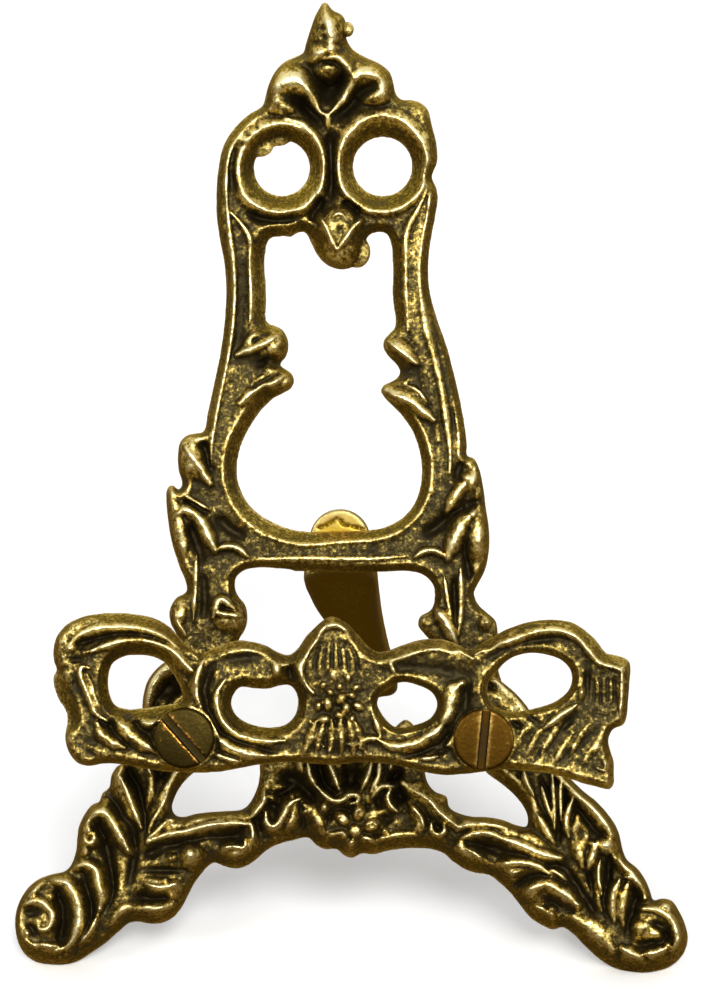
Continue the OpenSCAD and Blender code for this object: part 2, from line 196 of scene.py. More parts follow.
class Sheet:
    """A casting's walls and its height maps, on a grid of cells on its plane: top and back are its
    faces, stain_and_highlight is how clean the brass is together with the highlights painted on
    its crests, and round is how plump its edges are."""

    def __init__(self, u_range, v_range, cell, drawn_w, seed):
        self.cell = cell
        self.drawn_w = drawn_w
        self.u = np.arange(*u_range, cell)
        self.v = np.arange(*v_range, cell)
        self.U, self.V = np.meshgrid(self.u, self.v, indexing="ij")
        self.top = np.zeros(self.U.shape)
        self.back = np.zeros(self.U.shape)
        self.stain_and_highlight = np.zeros(self.U.shape)
        self.round = np.zeros(self.U.shape)
        self.walls = []
        self.rng = np.random.default_rng(seed)

    def window(self, low, high):
        """The part of the grid between two corners."""
        i = np.clip(((low - [self.u[0], self.v[0]]) / self.cell).astype(int), 0, None)
        j = np.clip(((high - [self.u[0], self.v[0]]) / self.cell).astype(int) + 2, 0, None)
        return slice(i[0], j[0]), slice(i[1], j[1])

    def near(self, line, reach):
        """For each grid point: distance to the line, share along it, and which side it is on."""
        dist = np.full(self.U.shape, float(reach))
        share = np.zeros(self.U.shape)
        side = np.zeros(self.U.shape)
        lengths = np.hypot(*(line[1:] - line[:-1]).T)
        starts = np.concatenate([[0], np.cumsum(lengths)])
        for i, (a, b) in enumerate(zip(line[:-1], line[1:])):
            if lengths[i] < 1e-9:
                continue
            box = self.window(np.minimum(a, b) - reach, np.maximum(a, b) + reach)
            du, dv = (b - a) / lengths[i]
            pu, pv = self.U[box] - a[0], self.V[box] - a[1]
            along = np.clip(pu * du + pv * dv, 0, lengths[i])
            gap = np.hypot(pu - along * du, pv - along * dv)
            closer = gap < dist[box]
            dist[box] = np.where(closer, gap, dist[box])
            share[box] = np.where(closer, (starts[i] + along) / starts[-1], share[box])
            side[box] = np.where(closer, np.sign(du * pv - dv * pu), side[box])
        return dist, share, side

    def inside(self, line, reach=6):
        """Distance inside a closed line, negative outside, within reach."""
        dist = self.near(line, reach)[0]
        within = np.zeros(self.U.shape, bool)
        for a, b in zip(line[:-1], line[1:]):
            if a[1] == b[1]:
                continue
            rows = np.where((self.v >= min(a[1], b[1])) & (self.v < max(a[1], b[1])))[0]
            for j in rows:
                cross = a[0] + (self.v[j] - a[1]) * (b[0] - a[0]) / (b[1] - a[1])
                within[self.u < cross, j] ^= True
        return np.where(within, dist, -dist)

    def wall(self, points, draft, hole=False, toward=(0, 0), extra=0):
        """Bounds the casting by a closed outline, or by a hole in it, with a drafted wall;
        extra is more draft for the walls that face toward a direction."""
        line = curve(points, closed=True)
        depth = self.inside(line)
        if extra:
            slope = np.gradient(depth, self.cell)
            facing = blur(slope[0] * toward[0] + slope[1] * toward[1], [3, 3])
            draft = draft + extra * ease(facing if hole else -facing)
        self.walls.append((-depth if hole else depth, draft + np.zeros(self.U.shape)))

    def plump(self, rows):
        """Steeper walls and rounder edges near some forms: rows of centre and radius."""
        for u, v, radius in rows:
            near = ease(1.6 - 1.6 * np.hypot(self.U - u, self.V - v) / radius)
            self.round = np.maximum(self.round, near)
        self.walls = [(depth, draft * (1 - 0.6 * self.round)) for depth, draft in self.walls]

    def inset(self, height):
        """Distance in from the nearest wall, at a height."""
        return np.minimum.reduce([depth - draft * height for depth, draft in self.walls])

    def rim(self, ground, lip, width, strength=1, shine=0.2):
        """A raised lip where the walls meet the ground, with cleaner brass and a highlight painted along
        it.
        """
        close = strength * np.exp(-(np.maximum(self.inset(ground), 0) / width) ** 2)
        self.top += lip * close
        # Cleaner brass and a painted highlight along the lip.
        self.stain_and_highlight += shine * close

    def ridge(self, points, half, crest, drop=2, power=1.8, soft=0.3, shine=0.2):
        """Raises a ridge along a curve. half is its half width and crest its height, each a number
            or a list spread along the curve, and drop is its fall to its edges. It narrows at its free
            ends. Along its middle the brass is painted cleaner, with a highlight, or darker where that
            amount is negative."""
        line = curve(points)
        half = PLUMPER * np.asarray(half)
        reach = np.max(half) + 1.2
        dist, share, _ = self.near(line, reach)
        ends = 1
        if np.hypot(*(line[0] - line[-1])) > 0.5:
            ends = 0.5 + 0.5 * ease(share / 0.25) * ease((1 - share) / 0.25)
        width = spread(half, share) * ends
        x = dist / width
        shape = spread(crest, share) - 0.8 * (1 - ends) - drop * np.minimum(x, 1) ** power
        shape -= SIDE_SLOPE * np.maximum(dist - width, 0)
        # Cleaner brass and a painted highlight along the crest, fading to its edges and free ends.
        highlight_and_polish_map = shine * ends * np.exp(-(1.5 * x) ** 2)
        self.raise_to(np.where(dist < reach, shape, BELOW), soft, highlight_and_polish_map)

    def raise_to(self, shape, soft, highlight_and_polish_map):
        """Adds a form to the relief; where it stands out it takes the form's cleaner brass and painted
        highlight in place of the ground's.
        """
        shown = ease((shape - self.top + 0.4) / 0.8)
        self.stain_and_highlight += (highlight_and_polish_map - self.stain_and_highlight) * shown
        self.top = np.where(shape > self.top - soft, smooth_max(self.top, shape, soft), self.top)

    def ridges(self, rows, **options):
        """Rows of half width, crest height and points."""
        for half, crest, *points in rows:
            self.ridge(points, half, crest, **options)

    def groove(self, points, half, depth, dirt=0.3):
        """Cuts a groove along a curve, fading at both ends."""
        dist, share, _ = self.near(curve(points), 3 * half)
        ends = ease(share / 0.25) * ease((1 - share) / 0.25)
        cut = ends * np.exp(-(dist / half) ** 2)
        self.top -= depth * cut
        self.stain_and_highlight -= dirt * cut

    def grooves(self, rows):
        """Rows of half width, depth and points."""
        for half, depth, *points in rows:
            self.groove(points, half, depth)

    def age(self, grit):
        """Sand-cast grain, finer than a ridge, and patches of wear that break up the cleaner brass and
        painted highlights.
        """
        shape = self.top.shape
        self.top += 1.4 * grit * grain(self.rng, shape, 0.9) + 1.6 * grit * grain(self.rng, shape, 2.6)
        patches = np.clip(0.82 + 0.42 * grain(self.rng, shape, 2.4), 0, 1.5)
        self.stain_and_highlight = np.where(self.stain_and_highlight > 0, self.stain_and_highlight * patches, self.stain_and_highlight)
        self.stain_and_highlight += 0.10 * grain(self.rng, shape, 0.8)
        self.back += 0.06 * grain(self.rng, shape, 2) + 0.12

    def oval(self, centre, radii, angle):
        """Distance from a centre, as a share of an ellipse's radii."""
        a = math.radians(angle)
        du, dv = self.U - centre[0], self.V - centre[1]
        x = (du * math.cos(a) + dv * math.sin(a)) / radii[0]
        y = (dv * math.cos(a) - du * math.sin(a)) / radii[1]
        return np.hypot(x, y)

    def bump(self, centre, radii, height, angle=0, dirt=0.3):
        """Adds a rounded bump, or a dirty hollow where height is negative."""
        rise = np.exp(-self.oval(centre, radii, angle) ** 2)
        self.top += height * rise
        if height < 0:
            self.stain_and_highlight -= dirt * rise

    def hollows(self, rows, share=1, dirt=0.3):
        """Rows of centre, radii, depth and angle; share is how much of the depth is cut."""
        for u, v, long, short, depth, angle in rows:
            self.bump((u, v), (long, short), -share * depth, angle, dirt)

    def lump(self, centre, radii, crest, drop=2, angle=0, soft=0.3, shine=0.12):
        """Raises a dome to a crest height, like a ridge with no length, with cleaner brass and a painted
        highlight on its top.
        """
        r = self.oval(centre, radii, angle)
        shape = crest - drop * np.minimum(r, 1) ** 2 - 3 * np.maximum(r - 1, 0) * min(radii)
        self.raise_to(shape, soft, shine * np.exp(-(1.3 * r) ** 2))

    def lumps(self, rows, **options):
        """Rows of centre, radii, crest height and angle."""
        for u, v, long, short, crest, angle in rows:
            self.lump((u, v), (long, short), crest, angle=angle, **options)

    def volume(self, w_low, w_high, rise, rounding):
        """The casting's inside as a field on a 3D grid: above 0 inside."""
        self.low = (self.u[0], self.v[0], w_low)
        self.steps = (self.cell, self.cell, rise)
        self.w = np.arange(w_low, w_high, rise, dtype=np.float32)
        w = self.w[None, None, :]
        gu, gv = np.gradient(self.top, self.cell)
        slope = np.sqrt(1 + np.minimum(gu**2 + gv**2, 9))
        field = None
        for depth, draft in self.walls:
            lean = np.sqrt(1 + draft**2)
            side = ((depth / lean)[:, :, None] - (draft / lean)[:, :, None] * w).astype(np.float32)
            field = side if field is None else np.minimum(field, side)
        roof = ((self.top / slope)[:, :, None] - w / slope[:, :, None]).astype(np.float32)
        field = smooth_min(field, roof, rounding + 1.1 * self.round[:, :, None].astype(np.float32))
        field = smooth_min(field, w - self.back[:, :, None].astype(np.float32), 0.25)
        return field.astype(np.float32)


# ---- Meshing ----

def surface_net(field, low, steps):
    """Vertices and quads of the field's zero surface, by naive surface nets."""
    nx, ny, nz = (n - 1 for n in field.shape)
    full = field > 0

    def corner(grid, i, j, k):
        return grid[i:nx + i, j:ny + j, k:nz + k]

    corners = [(i, j, k) for i in (0, 1) for j in (0, 1) for k in (0, 1)]
    filled = sum(corner(full, *c).astype(np.int8) for c in corners)
    mixed = (filled > 0) & (filled < 8)
    cells = np.argwhere(mixed)
    number = np.full(mixed.shape, -1, np.int64)
    number[mixed] = np.arange(len(cells))
    total = np.zeros((len(cells), 3))
    count = np.zeros(len(cells))
    x, y, z = cells.T
    for c in corners:
        for axis in range(3):
            if c[axis]:
                continue
            d = list(c)
            d[axis] = 1
            a = field[x + c[0], y + c[1], z + c[2]]
            b = field[x + d[0], y + d[1], z + d[2]]
            cut = (a > 0) != (b > 0)
            t = a[cut] / (a[cut] - b[cut])
            spot = np.tile(np.array(c, float), (len(t), 1))
            spot[:, axis] = t
            total[cut] += spot
            count[cut] += 1
    places = cells + total / count[:, None]
    verts = np.array(low) + places * np.array(steps)
    quads = []
    for axis in range(3):
        j, k = (axis + 1) % 3, (axis + 2) % 3
        first = [slice(1, -1)] * 3
        first[axis] = slice(0, -1)
        second = list(first)
        second[axis] = slice(1, None)
        a, b = full[tuple(first)], full[tuple(second)]
        for leaving in (True, False):
            spot = np.argwhere((a & ~b) if leaving else (~a & b)) + 1
            spot[:, axis] -= 1
            ring = []
            for dj, dk in ((-1, -1), (0, -1), (0, 0), (-1, 0)):
                cell = spot.copy()
                cell[:, j] += dj
                cell[:, k] += dk
                ring.append(number[cell[:, 0], cell[:, 1], cell[:, 2]])
            quad = np.column_stack(ring)
            quads.append(quad if leaving else quad[:, ::-1])
    return verts, np.vstack(quads), places


def sample(grid, places):
    """Trilinear values of a grid at fractional cell places."""
    base = np.clip(places.astype(int), 0, np.array(grid.shape) - 2)
    part = places - base
    value = np.zeros(len(places))
    for c in ((i, j, k) for i in (0, 1) for j in (0, 1) for k in (0, 1)):
        weight = np.prod([part[:, n] if c[n] else 1 - part[:, n] for n in range(3)], axis=0)
        value += weight * grid[base[:, 0] + c[0], base[:, 1] + c[1], base[:, 2] + c[2]]
    return value


def new_object(name, verts, faces, material, values):
    """A smooth mesh object; values are named numbers, one for each vertex."""
    mesh = bpy.data.meshes.new(name)
    mesh.from_pydata(verts.tolist(), [], faces.tolist())
    for key, data in values.items():
        layer = mesh.attributes.new(key, "FLOAT", "POINT")
        layer.data.foreach_set("value", np.asarray(data, np.float32))
    mesh.polygons.foreach_set("use_smooth", np.ones(len(mesh.polygons), bool))
    mesh.materials.append(material)
    mesh.update()
    obj = bpy.data.objects.new(name, mesh)
    bpy.context.scene.collection.objects.link(obj)
    return obj


def mesh_field(name, field, low, steps, to_world, material, fine=0.45, broad=1.6, stain_and_highlight=None):
    """Meshes a field and stores how far each vertex stands out, at a fine and a broad scale.
    stain_and_highlight(verts, places) gives each vertex's stains, patina and painted highlights."""
    verts, quads, places = surface_net(field, low, steps)
    solid = np.clip(field / 0.35 + 0.5, 0, 1).astype(np.float32)
    values = {}
    for key, size in (("edge", fine), ("open", broad)):
        soft = blur(solid, [size / s for s in steps])
        values[key] = 0.5 - sample(soft, places)
    if stain_and_highlight:
        values["stain_and_highlight"] = stain_and_highlight(verts, places)
    return new_object(name, to_world(verts), quads, material, values)


def mesh_sheet(name, sheet, field, material, lift=0):
    """Meshes a sheet's field on the leaning plane, with its back at height lift. Only its face and
    the walls' upper edges take the sheet's stains and painted highlights."""
    def stain_and_highlight(verts, places):
        i, j = np.clip(np.round(places[:, :2]).astype(int).T, 0, np.array([sheet.top.shape]).T - 1)
        deep = sheet.top[i, j] - verts[:, 2]
        return sheet.stain_and_highlight[i, j] * ease(1.6 - deep / 0.7)

    def to_world(verts):
        return place(taper(verts + np.array([0, 0, lift]), sheet.drawn_w))

    return mesh_field(name, field, sheet.low, sheet.steps, to_world, material, stain_and_highlight=stain_and_highlight)


# ---- Materials ----

def noise(nodes, links, coordinate, scale, detail, rough):
    node = nodes.new("ShaderNodeTexNoise")
    node.inputs["Scale"].default_value = scale
    node.inputs["Detail"].default_value = detail
    node.inputs["Roughness"].default_value = rough
    links.new(coordinate, node.inputs["Vector"])
    return node.outputs["Fac"]


def maths(nodes, links, kind, a, b, c=0, clamp=False):
    """A maths node on sockets or numbers; c is what MULTIPLY_ADD adds."""
    node = nodes.new("ShaderNodeMath")
    node.operation = kind
    node.use_clamp = clamp
    for slot, value in zip(node.inputs, (a, b, c)):
        if isinstance(value, (int, float)):
            slot.default_value = value
        else:
            links.new(value, slot)
    return node.outputs[0]


def ramp(nodes, links, value, stops):
    node = nodes.new("ShaderNodeValToRGB")
    while len(node.color_ramp.elements) < len(stops):
        node.color_ramp.elements.new(0.5)
    for element, (place, colour) in zip(node.color_ramp.elements, stops):
        element.position = place
        element.color = (*colour, 1)
    links.new(value, node.inputs["Fac"])
    return node.outputs["Color"]


def choose(nodes, links, switch, plain, special):
    """The plain colour, or the special one where the switch is on."""
    mix = nodes.new("ShaderNodeMix")
    mix.data_type = "RGBA"
    links.new(switch, mix.inputs["Factor"])
    for slot, colour in ((mix.inputs[6], plain), (mix.inputs[7], special)):
        if isinstance(colour, tuple):
            slot.default_value = (*colour, 1)
        else:
            links.new(colour, slot)
    return mix.outputs[2]


BLACKENED = (0.010, 0.007, 0.003)
UMBER = (0.043, 0.031, 0.010)
OLIVE = (0.120, 0.090, 0.026)
GOLD = (0.330, 0.232, 0.052)
BRIGHT = (0.760, 0.590, 0.200)
PALE = (0.930, 0.830, 0.450)


def new_material(name):
    material = bpy.data.materials.new(name)
    material.use_nodes = True
    nodes, links = material.node_tree.nodes, material.node_tree.links
    return material, nodes, links, nodes["Principled BSDF"]


# The colours of each kind of brass, from its darkest hollows to its edges rubbed brightest by wear and its
# painted highlights
CAST = [(0, BLACKENED), (0.2, UMBER), (0.40, OLIVE), (0.58, GOLD), (0.80, BRIGHT), (1, PALE)]
STRUT = [(0, BLACKENED), (0.25, (0.12, 0.078, 0.004)), (0.45, (0.34, 0.220, 0.016)),
         (0.65, (0.34, 0.240, 0.060)), (1, (0.50, 0.420, 0.190))]
TURNED = [(0, (0.012, 0.006, 0.001)), (0.30, (0.040, 0.019, 0.002)), (0.60, (0.072, 0.035, 0.004)),
          (0.80, (0.240, 0.140, 0.030)), (1, (0.600, 0.440, 0.150))]
TARNISHED = [(0, (0.012, 0.008, 0.002)), (0.35, (0.028, 0.019, 0.004)), (0.68, (0.050, 0.034, 0.007)),
             (0.80, (0.420, 0.190, 0.030)), (1, (0.850, 0.480, 0.120))]


def cast_brass(name, stops=CAST, wear=0, speckle=1):
    """Brass that is blackened in its hollows, olive-gold on its flanks, and pale on edges rubbed by wear
    and where highlights are painted.
    """
    material, nodes, links, shader = new_material(name)

    def sums(kind, a, b, c=0, clamp=False):
        return maths(nodes, links, kind, a, b, c, clamp)

    where = nodes.new("ShaderNodeTexCoord").outputs["Object"]
    fine = noise(nodes, links, where, 2200, 3, 0.7)
    mottle = noise(nodes, links, where, 900, 4, 0.65)
    cloud = noise(nodes, links, where, 110, 2, 0.5)
    # How far up its colours the brass goes: edge wear, patina in the hollows, and the stains and painted
    # highlights carried on each vertex, broken up by noise.
    wear_and_highlight = 0.40 + wear
    for key, amount in (("edge", 1.3), ("open", 1), ("stain_and_highlight", 1)):
        attribute = nodes.new("ShaderNodeAttribute")
        attribute.attribute_name = key
        wear_and_highlight = sums("MULTIPLY_ADD", attribute.outputs["Fac"], amount, wear_and_highlight)
    for texture, amount in ((fine, 1.60 * speckle), (mottle, 0.60 * speckle), (cloud, 0.45)):
        wear_and_highlight = sums("MULTIPLY_ADD", sums("SUBTRACT", texture, 0.5), amount, wear_and_highlight)
    links.new(ramp(nodes, links, wear_and_highlight, stops), shader.inputs["Base Color"])
    links.new(sums("MULTIPLY_ADD", wear_and_highlight, 1.5, 0.35, clamp=True), shader.inputs["Metallic"])
    links.new(sums("MULTIPLY_ADD", wear_and_highlight, -0.14, 0.46), shader.inputs["Roughness"])
    shader.inputs["Specular Tint"].default_value = (0.85, 0.68, 0.32, 1)
    bump = nodes.new("ShaderNodeBump")
    bump.inputs["Strength"].default_value = 0.8 * speckle
    bump.inputs["Distance"].default_value = 0.14 * MM
    links.new(sums("ADD", fine, mottle), bump.inputs["Height"])
    links.new(bump.outputs["Normal"], shader.inputs["Normal"])
    return material


# ---- The upright casting ----

UPRIGHT_OUTLINE = [
    (-2.9, 150), (-2.3, 150.1), (-1.3, 148.9), (0.2, 148.1), (0.75, 147.1), (0.9, 145.8), (0.9, 144.5),
    (1.8, 142.9), (3.6, 141.7), (6, 140.5), (7.6, 139.1), (8.2, 137.3), (8.7, 135.6), (9.6, 134.9),
    (10.8, 134.9), (12.4, 134.4), (13.5, 133.4), (14.2, 130.8), (14.9, 127.9), (15, 125.1), (14.2, 122.8),
    (14.9, 121.1), (15.1, 119), (14.7, 116.6), (14, 112.8), (13.6, 108.4), (13.9, 104.9), (14.9, 101.2),
    (16.5, 96.6), (17.9, 91.2), (19, 86), (19.6, 81.6), (19.7, 79.7), (20.5, 79.5), (21.4, 77.8),
    (22.1, 74.6), (22.6, 71.2), (23, 67.8), (22.9, 64.4), (22.3, 61.7), (21.3, 59.8), (20.7, 58.5),
    (21.2, 57), (22.6, 55.5), (23.9, 54.3), (24.3, 52.6), (24.2, 48), (26, 41), (26.2, 36.5), (23, 33.4),
    (19.6, 34.6), (18.2, 39), (17, 45), (14.6, 50), (12.9, 52), (11.9, 53.4), (12.2, 54.8), (13.9, 55.9),
    (14.4, 57.6), (14.2, 59.5), (13.1, 60.9), (11.4, 61.6), (6, 61.6), (0, 61.6), (-7, 61.9),
    (-13.2, 62.2), (-15, 61.8), (-16.2, 60.8), (-16.4, 59.3), (-15.9, 57.9), (-14.9, 56.6), (-14.5, 54.6),
    (-14.8, 52.8), (-15.8, 51), (-17.4, 45), (-18.4, 39), (-19.8, 34.6), (-23, 33.2), (-26.2, 36.5),
    (-27.2, 41), (-26.4, 48), (-25.7, 51.6), (-26.6, 53.6), (-26.8, 55.5), (-25.8, 57.6), (-24.2, 58.7),
    (-24.4, 60.3), (-25.2, 62.2), (-26.3, 65.6), (-27, 69.4), (-27.3, 72.6), (-27.1, 74.8), (-26.3, 75.3),
    (-25.3, 74.6), (-24.9, 75.2), (-25.4, 77.4), (-25.5, 80), (-25.1, 81.9), (-24, 83), (-22.6, 83.3),
    (-21.6, 83.5), (-20.9, 86.4), (-19.9, 90.9), (-18.9, 95.8), (-18.2, 101), (-18, 105.4), (-18.3, 109.8),
    (-19, 113.4), (-19.5, 117.2), (-19.5, 121.2), (-19.2, 124.4), (-18.4, 128), (-16.6, 130.8),
    (-14.2, 133), (-12.3, 134.2), (-11.9, 135.4), (-11.3, 137.4), (-10, 139.8), (-8.6, 141.1), (-7, 141.8),
    (-6, 142.3), (-5.5, 143.8), (-4.8, 145.9), (-4.1, 147.9), (-3.4, 149.2)]

UPRIGHT_WINDOW = [
    (-11.4, 112.2), (-10.8, 113.3), (-9.2, 113.6), (-7.8, 113.5), (-6.7, 114.1), (-5.7, 114.2),
    (-4.9, 112.8), (-3.8, 110.7), (-2.4, 109.3), (-0.8, 108.6), (0.6, 108.5), (1.9, 108.9), (3, 109.9),
    (3.7, 111.6), (4.4, 113.7), (5.6, 114.2), (6.9, 114), (7.6, 112.6), (7.9, 109.6), (7.9, 104),
    (8.2, 99.6), (7.4, 98.6), (6.6, 97.6), (6.5, 96.5), (7.2, 95.2), (8.6, 93.6), (9, 92.7), (8.7, 91.9),
    (7.7, 91.2), (6.6, 90.7), (6.1, 89.8), (6.6, 88.8), (8, 87.3), (9.6, 85.5), (10.9, 83.5), (11.9, 80.9),
    (12.4, 77.8), (12.1, 74.7), (11.2, 72.3), (9.7, 70.5), (7.8, 69.2), (5, 68.4), (0, 68.2), (-5, 68.1),
    (-8, 68.6), (-10.8, 69.7), (-13.1, 71.2), (-14.8, 73.2), (-15.8, 75.7), (-16, 78.2), (-15.5, 80.9),
    (-14.3, 83.6), (-12.7, 86.1), (-10.7, 88.2), (-8.8, 89.4), (-7.7, 90.1), (-7.2, 91.2), (-7.6, 92.5),
    (-8.8, 93.4), (-9.3, 93.8), (-8.5, 94.9), (-8.1, 96.5), (-8.3, 98.1), (-9.2, 99.5), (-10.4, 100.1),
    (-11.3, 100.5), (-11.4, 104)]

RING_LEFT = (-9.5, 124.3)
RING_RIGHT = (6.4, 125.2)


def upright_top(sheet):
    """Finial, crown, the two rings and the beak."""
    for centre, radius, squash in ((RING_LEFT, 6.8, 1), (RING_RIGHT, 6.6, 1.1)):
        sheet.ridge(circle(centre, radius, squash=squash), 1.1, 6.1, 1.8, power=1.4)
    sheet.ridges([
        (0.8, 6, (-8.6, 132.1), (-5.8, 131), (-3.9, 128.8), (-2.7, 126), (-2.5, 122.8)),
        (0.5, 5.6, (-12.6, 132.6), (-15.6, 130), (-17.4, 126.6), (-17.9, 122), (-17.8, 118.2))])
    sheet.grooves([
        (0.7, 1.5, (-15.4, 129), (-16.7, 126), (-16.8, 122.6), (-16, 119.6)),
        (1, 2.3, (-1.7, 131), (-1.6, 126), (-1.6, 121), (-1.5, 117.8)),
        (0.8, 1.8, (-15.2, 118), (-12.4, 116.6), (-8.6, 116.5), (-5.6, 117.2)),
        (0.8, 2, (0.2, 119.4), (1.6, 118), (3.2, 117.2)),
        (0.9, 2.4, (-3, 120.4), (-3.6, 118), (-4.4, 115.6))])
    for u, v in ((-14.3, 129.6), (-13, 130.6), (-15.4, 128.2), (-5, 125.4), (-4.4, 123.6)):
        sheet.bump((u, v), (0.45, 0.4), -0.7, dirt=0.4)
    # Finial
    sheet.ridge([(-2.6, 150.4), (-2.3, 147.6), (-1.9, 144.4), (-2, 142.6)], [1.2, 2.4, 2.8, 2.6],
            [7, 7.7, 7.8, 7.5], 3.4, power=1.2, shine=0.04)
    sheet.ridge([(-2.5, 149.2), (-2, 147), (-1.6, 144.8), (-1.8, 142.8)], [0.5, 0.8, 0.9, 0.8],
            [7.4, 8.3, 8.5, 8.2], 1.2, shine=0.26)
    # Two domes on the finial, with painted highlights on them
    sheet.lumps([(-3.2, 142.3, 1.9, 1.3, 8.2, 35), (-1.6, 142.8, 1.1, 1.2, 8.4, 0)], shine=0.4)
    sheet.ridge([(-2.9, 141.3), (-0.8, 141.6), (0.6, 140.5), (1.9, 138.4)], 0.55, 8, shine=0.26)
    for u, v, size in ((-2.5, 144.6, 0.5), (-2.8, 146, 0.4), (-4.6, 144.8, 0.4), (-4.9, 146.4, 0.4)):
        sheet.bump((u, v), (size, size), -0.7, dirt=0.35)
    # Crown: two plump lobes and the hollow petal between them
    sheet.lumps([(-8.2, 136, 4.2, 3, 7.4, 30), (4.6, 137, 3.6, 2.8, 7.4, -32)], drop=2.4, shine=0.02)
    sheet.ridge([(-9.3, 133), (-9.6, 135.6), (-8.9, 137.5), (-7, 138), (-5.4, 136.8), (-4.3, 134.6),
            (-3.3, 133), (-2.3, 132.6)], [0.8, 1.1, 1.7, 1.5, 1.1, 0.8, 0.8, 0.6],
            [6.4, 7.2, 7.8, 7.8, 7.6, 7.2, 6.6, 6], 1.8, shine=0.36)
    sheet.ridge([(6.3, 134.6), (6.2, 136.6), (5.4, 138.2), (3.9, 139), (2.4, 138.6), (1.4, 136.9),
            (0.4, 135.2), (-0.9, 133.5), (-2, 132.6)], [0.7, 1, 1.2, 1.3, 1.1, 0.8, 0.8, 0.8, 0.6],
            [6.2, 7.2, 7.6, 7.7, 7.6, 7.4, 7, 6.4, 5.8], 1.8, shine=0.34)
    sheet.hollows([
        (-7, 134.9, 2.4, 1.1, 2.6, -20), (-4.6, 132.8, 2.6, 0.9, 2.2, -44), (3.8, 136.4, 2.2, 1, 2.8, 25),
        (0.9, 133.4, 2.4, 0.9, 2.2, 40), (-1.4, 137.6, 2.3, 1.8, 3, 0), (-1.8, 135.6, 1.6, 1.4, 2, 0)])
    sheet.lump((-2, 139.8), (2.3, 1.6), 6.3, 1.6, soft=0.6, shine=-0.12)
    sheet.ridge([(-2.1, 132.8), (-1.95, 130.2)], 0.5, [5.8, 4.6], 1.4)
    # Beak
    sheet.lump((-0.4, 113.4), (3.6, 5), 6.8, 2.8, shine=0.06)
    sheet.lump((-0.3, 114.8), (2.6, 3.2), 7.3, 1.6, soft=0.5, shine=0.16)
    sheet.ridges([
        (0.6, 8, (-2.9, 116.2), (-2, 114.2), (-0.7, 111.7)),
        (0.6, 8, (2.9, 116), (1.3, 114.2), (-0.5, 111.7)),
        (0.4, 7.4, (-1.4, 116.6), (-0.4, 117.3), (0.7, 116.7))], shine=0.32)
    sheet.bump((-0.2, 114.6), (0.6, 0.9), -0.7, 20)


def upright_rails(sheet):
    """The rails' cords, and the leaves at the window."""
    sheet.ridges([
        (0.5, 5.5, (-18.1, 122), (-17.5, 116), (-16.9, 110), (-16.8, 104), (-17.3, 98), (-18.5, 92),
            (-19.6, 86), (-20.2, 81), (-20.3, 77)),
        (0.5, 5.4, (-17.2, 117.6), (-15.4, 115.6), (-14.2, 113.4), (-13.9, 109), (-13.9, 104),
            (-14.2, 100.4)),
        (0.5, 5.5, (13.2, 120.6), (11.8, 117.6), (10.3, 114.8), (10, 110), (10.1, 105), (10.4, 99)),
        (0.6, 5.5, (13.8, 120), (13.3, 116), (12.5, 110), (12.5, 104), (13.2, 99), (14.4, 95), (15.5, 90),
            (16.3, 85), (16.9, 80), (16.8, 77))], drop=1.1, shine=0.12)
    sheet.ridge([(12.6, 118), (11.5, 113), (11.2, 108), (11.4, 102), (12.2, 97), (13.4, 92), (14.4, 87),
            (15.2, 82)], 0.9, 5, 0.5, shine=-0.06)
    sheet.grooves([
        (0.45, 0.8, (14, 104), (15.2, 97), (16.7, 91), (17.6, 85), (18.2, 80)),
        (0.9, 0.7, (-15.4, 112), (-15.3, 106), (-15.7, 100), (-16.8, 93))])
    # Left leaves: each a plump bulb, a crest along it and a crease
    sheet.ridge([(-15.4, 96.4), (-12.6, 98.2), (-9.9, 98.2)], [0.8, 1.3, 1.9], [5.6, 6.3, 6.5], 2.4,
            shine=0.04)
    sheet.ridge([(-12.8, 94.6), (-10.6, 96.4), (-9.6, 97.2)], [0.9, 1.6, 2], [5.4, 6.2, 6.6], 2.6,
            shine=0.04)
    sheet.ridge([(-15.4, 87.6), (-12.4, 90.6), (-9.4, 92)], [0.9, 1.4, 1.5], [5.4, 6.1, 6.3], 2.6,
            shine=0.04)
    # Their crests, with highlights painted along them
    sheet.ridges([
        (0.7, 6.7, (-16.2, 95.4), (-13.8, 96.4), (-11.8, 97.2), (-9.9, 98.4)),
        (0.9, 6.6, (-15.8, 87.8), (-13.4, 89.5), (-11, 90.8), (-8.8, 92.1))], shine=0.34)
    sheet.grooves([
        (0.4, 1.2, (-14.4, 97.2), (-12.2, 98.4), (-10.4, 99.2)),
        (0.45, 1.3, (-14.4, 89.8), (-12.2, 91.3), (-9.8, 92.4))])
    sheet.bump((-11.9, 94.5), (1.5, 0.8), -1.9, 30, dirt=0.4)
    # Right leaves
    sheet.ridge([(7.2, 97.4), (9.4, 96.2), (12.4, 93.8)], [1.2, 1.5, 0.9], [6.2, 6.4, 5.6], 2.6,
            shine=0.03)
    sheet.ridge([(6.8, 89.8), (9.8, 89), (14.2, 85.6)], [1, 1.7, 1], [5.9, 6.5, 5.6], 2.6, shine=0.03)
    # Their crests, with highlights painted along them
    sheet.ridges([
        (0.6, 6.8, (7.4, 97.3), (9.2, 95.9), (11.8, 93.9)),
        (0.8, 6.9, (7.6, 89.2), (10.4, 88.3), (12.6, 86.7), (14.4, 85.2)),
        (0.4, 6.2, (10.2, 90.6), (11.8, 89.8), (13.4, 87.8))], shine=0.4)
    sheet.bump((9.8, 92.7), (1.3, 0.8), -1.6, dirt=0.35)


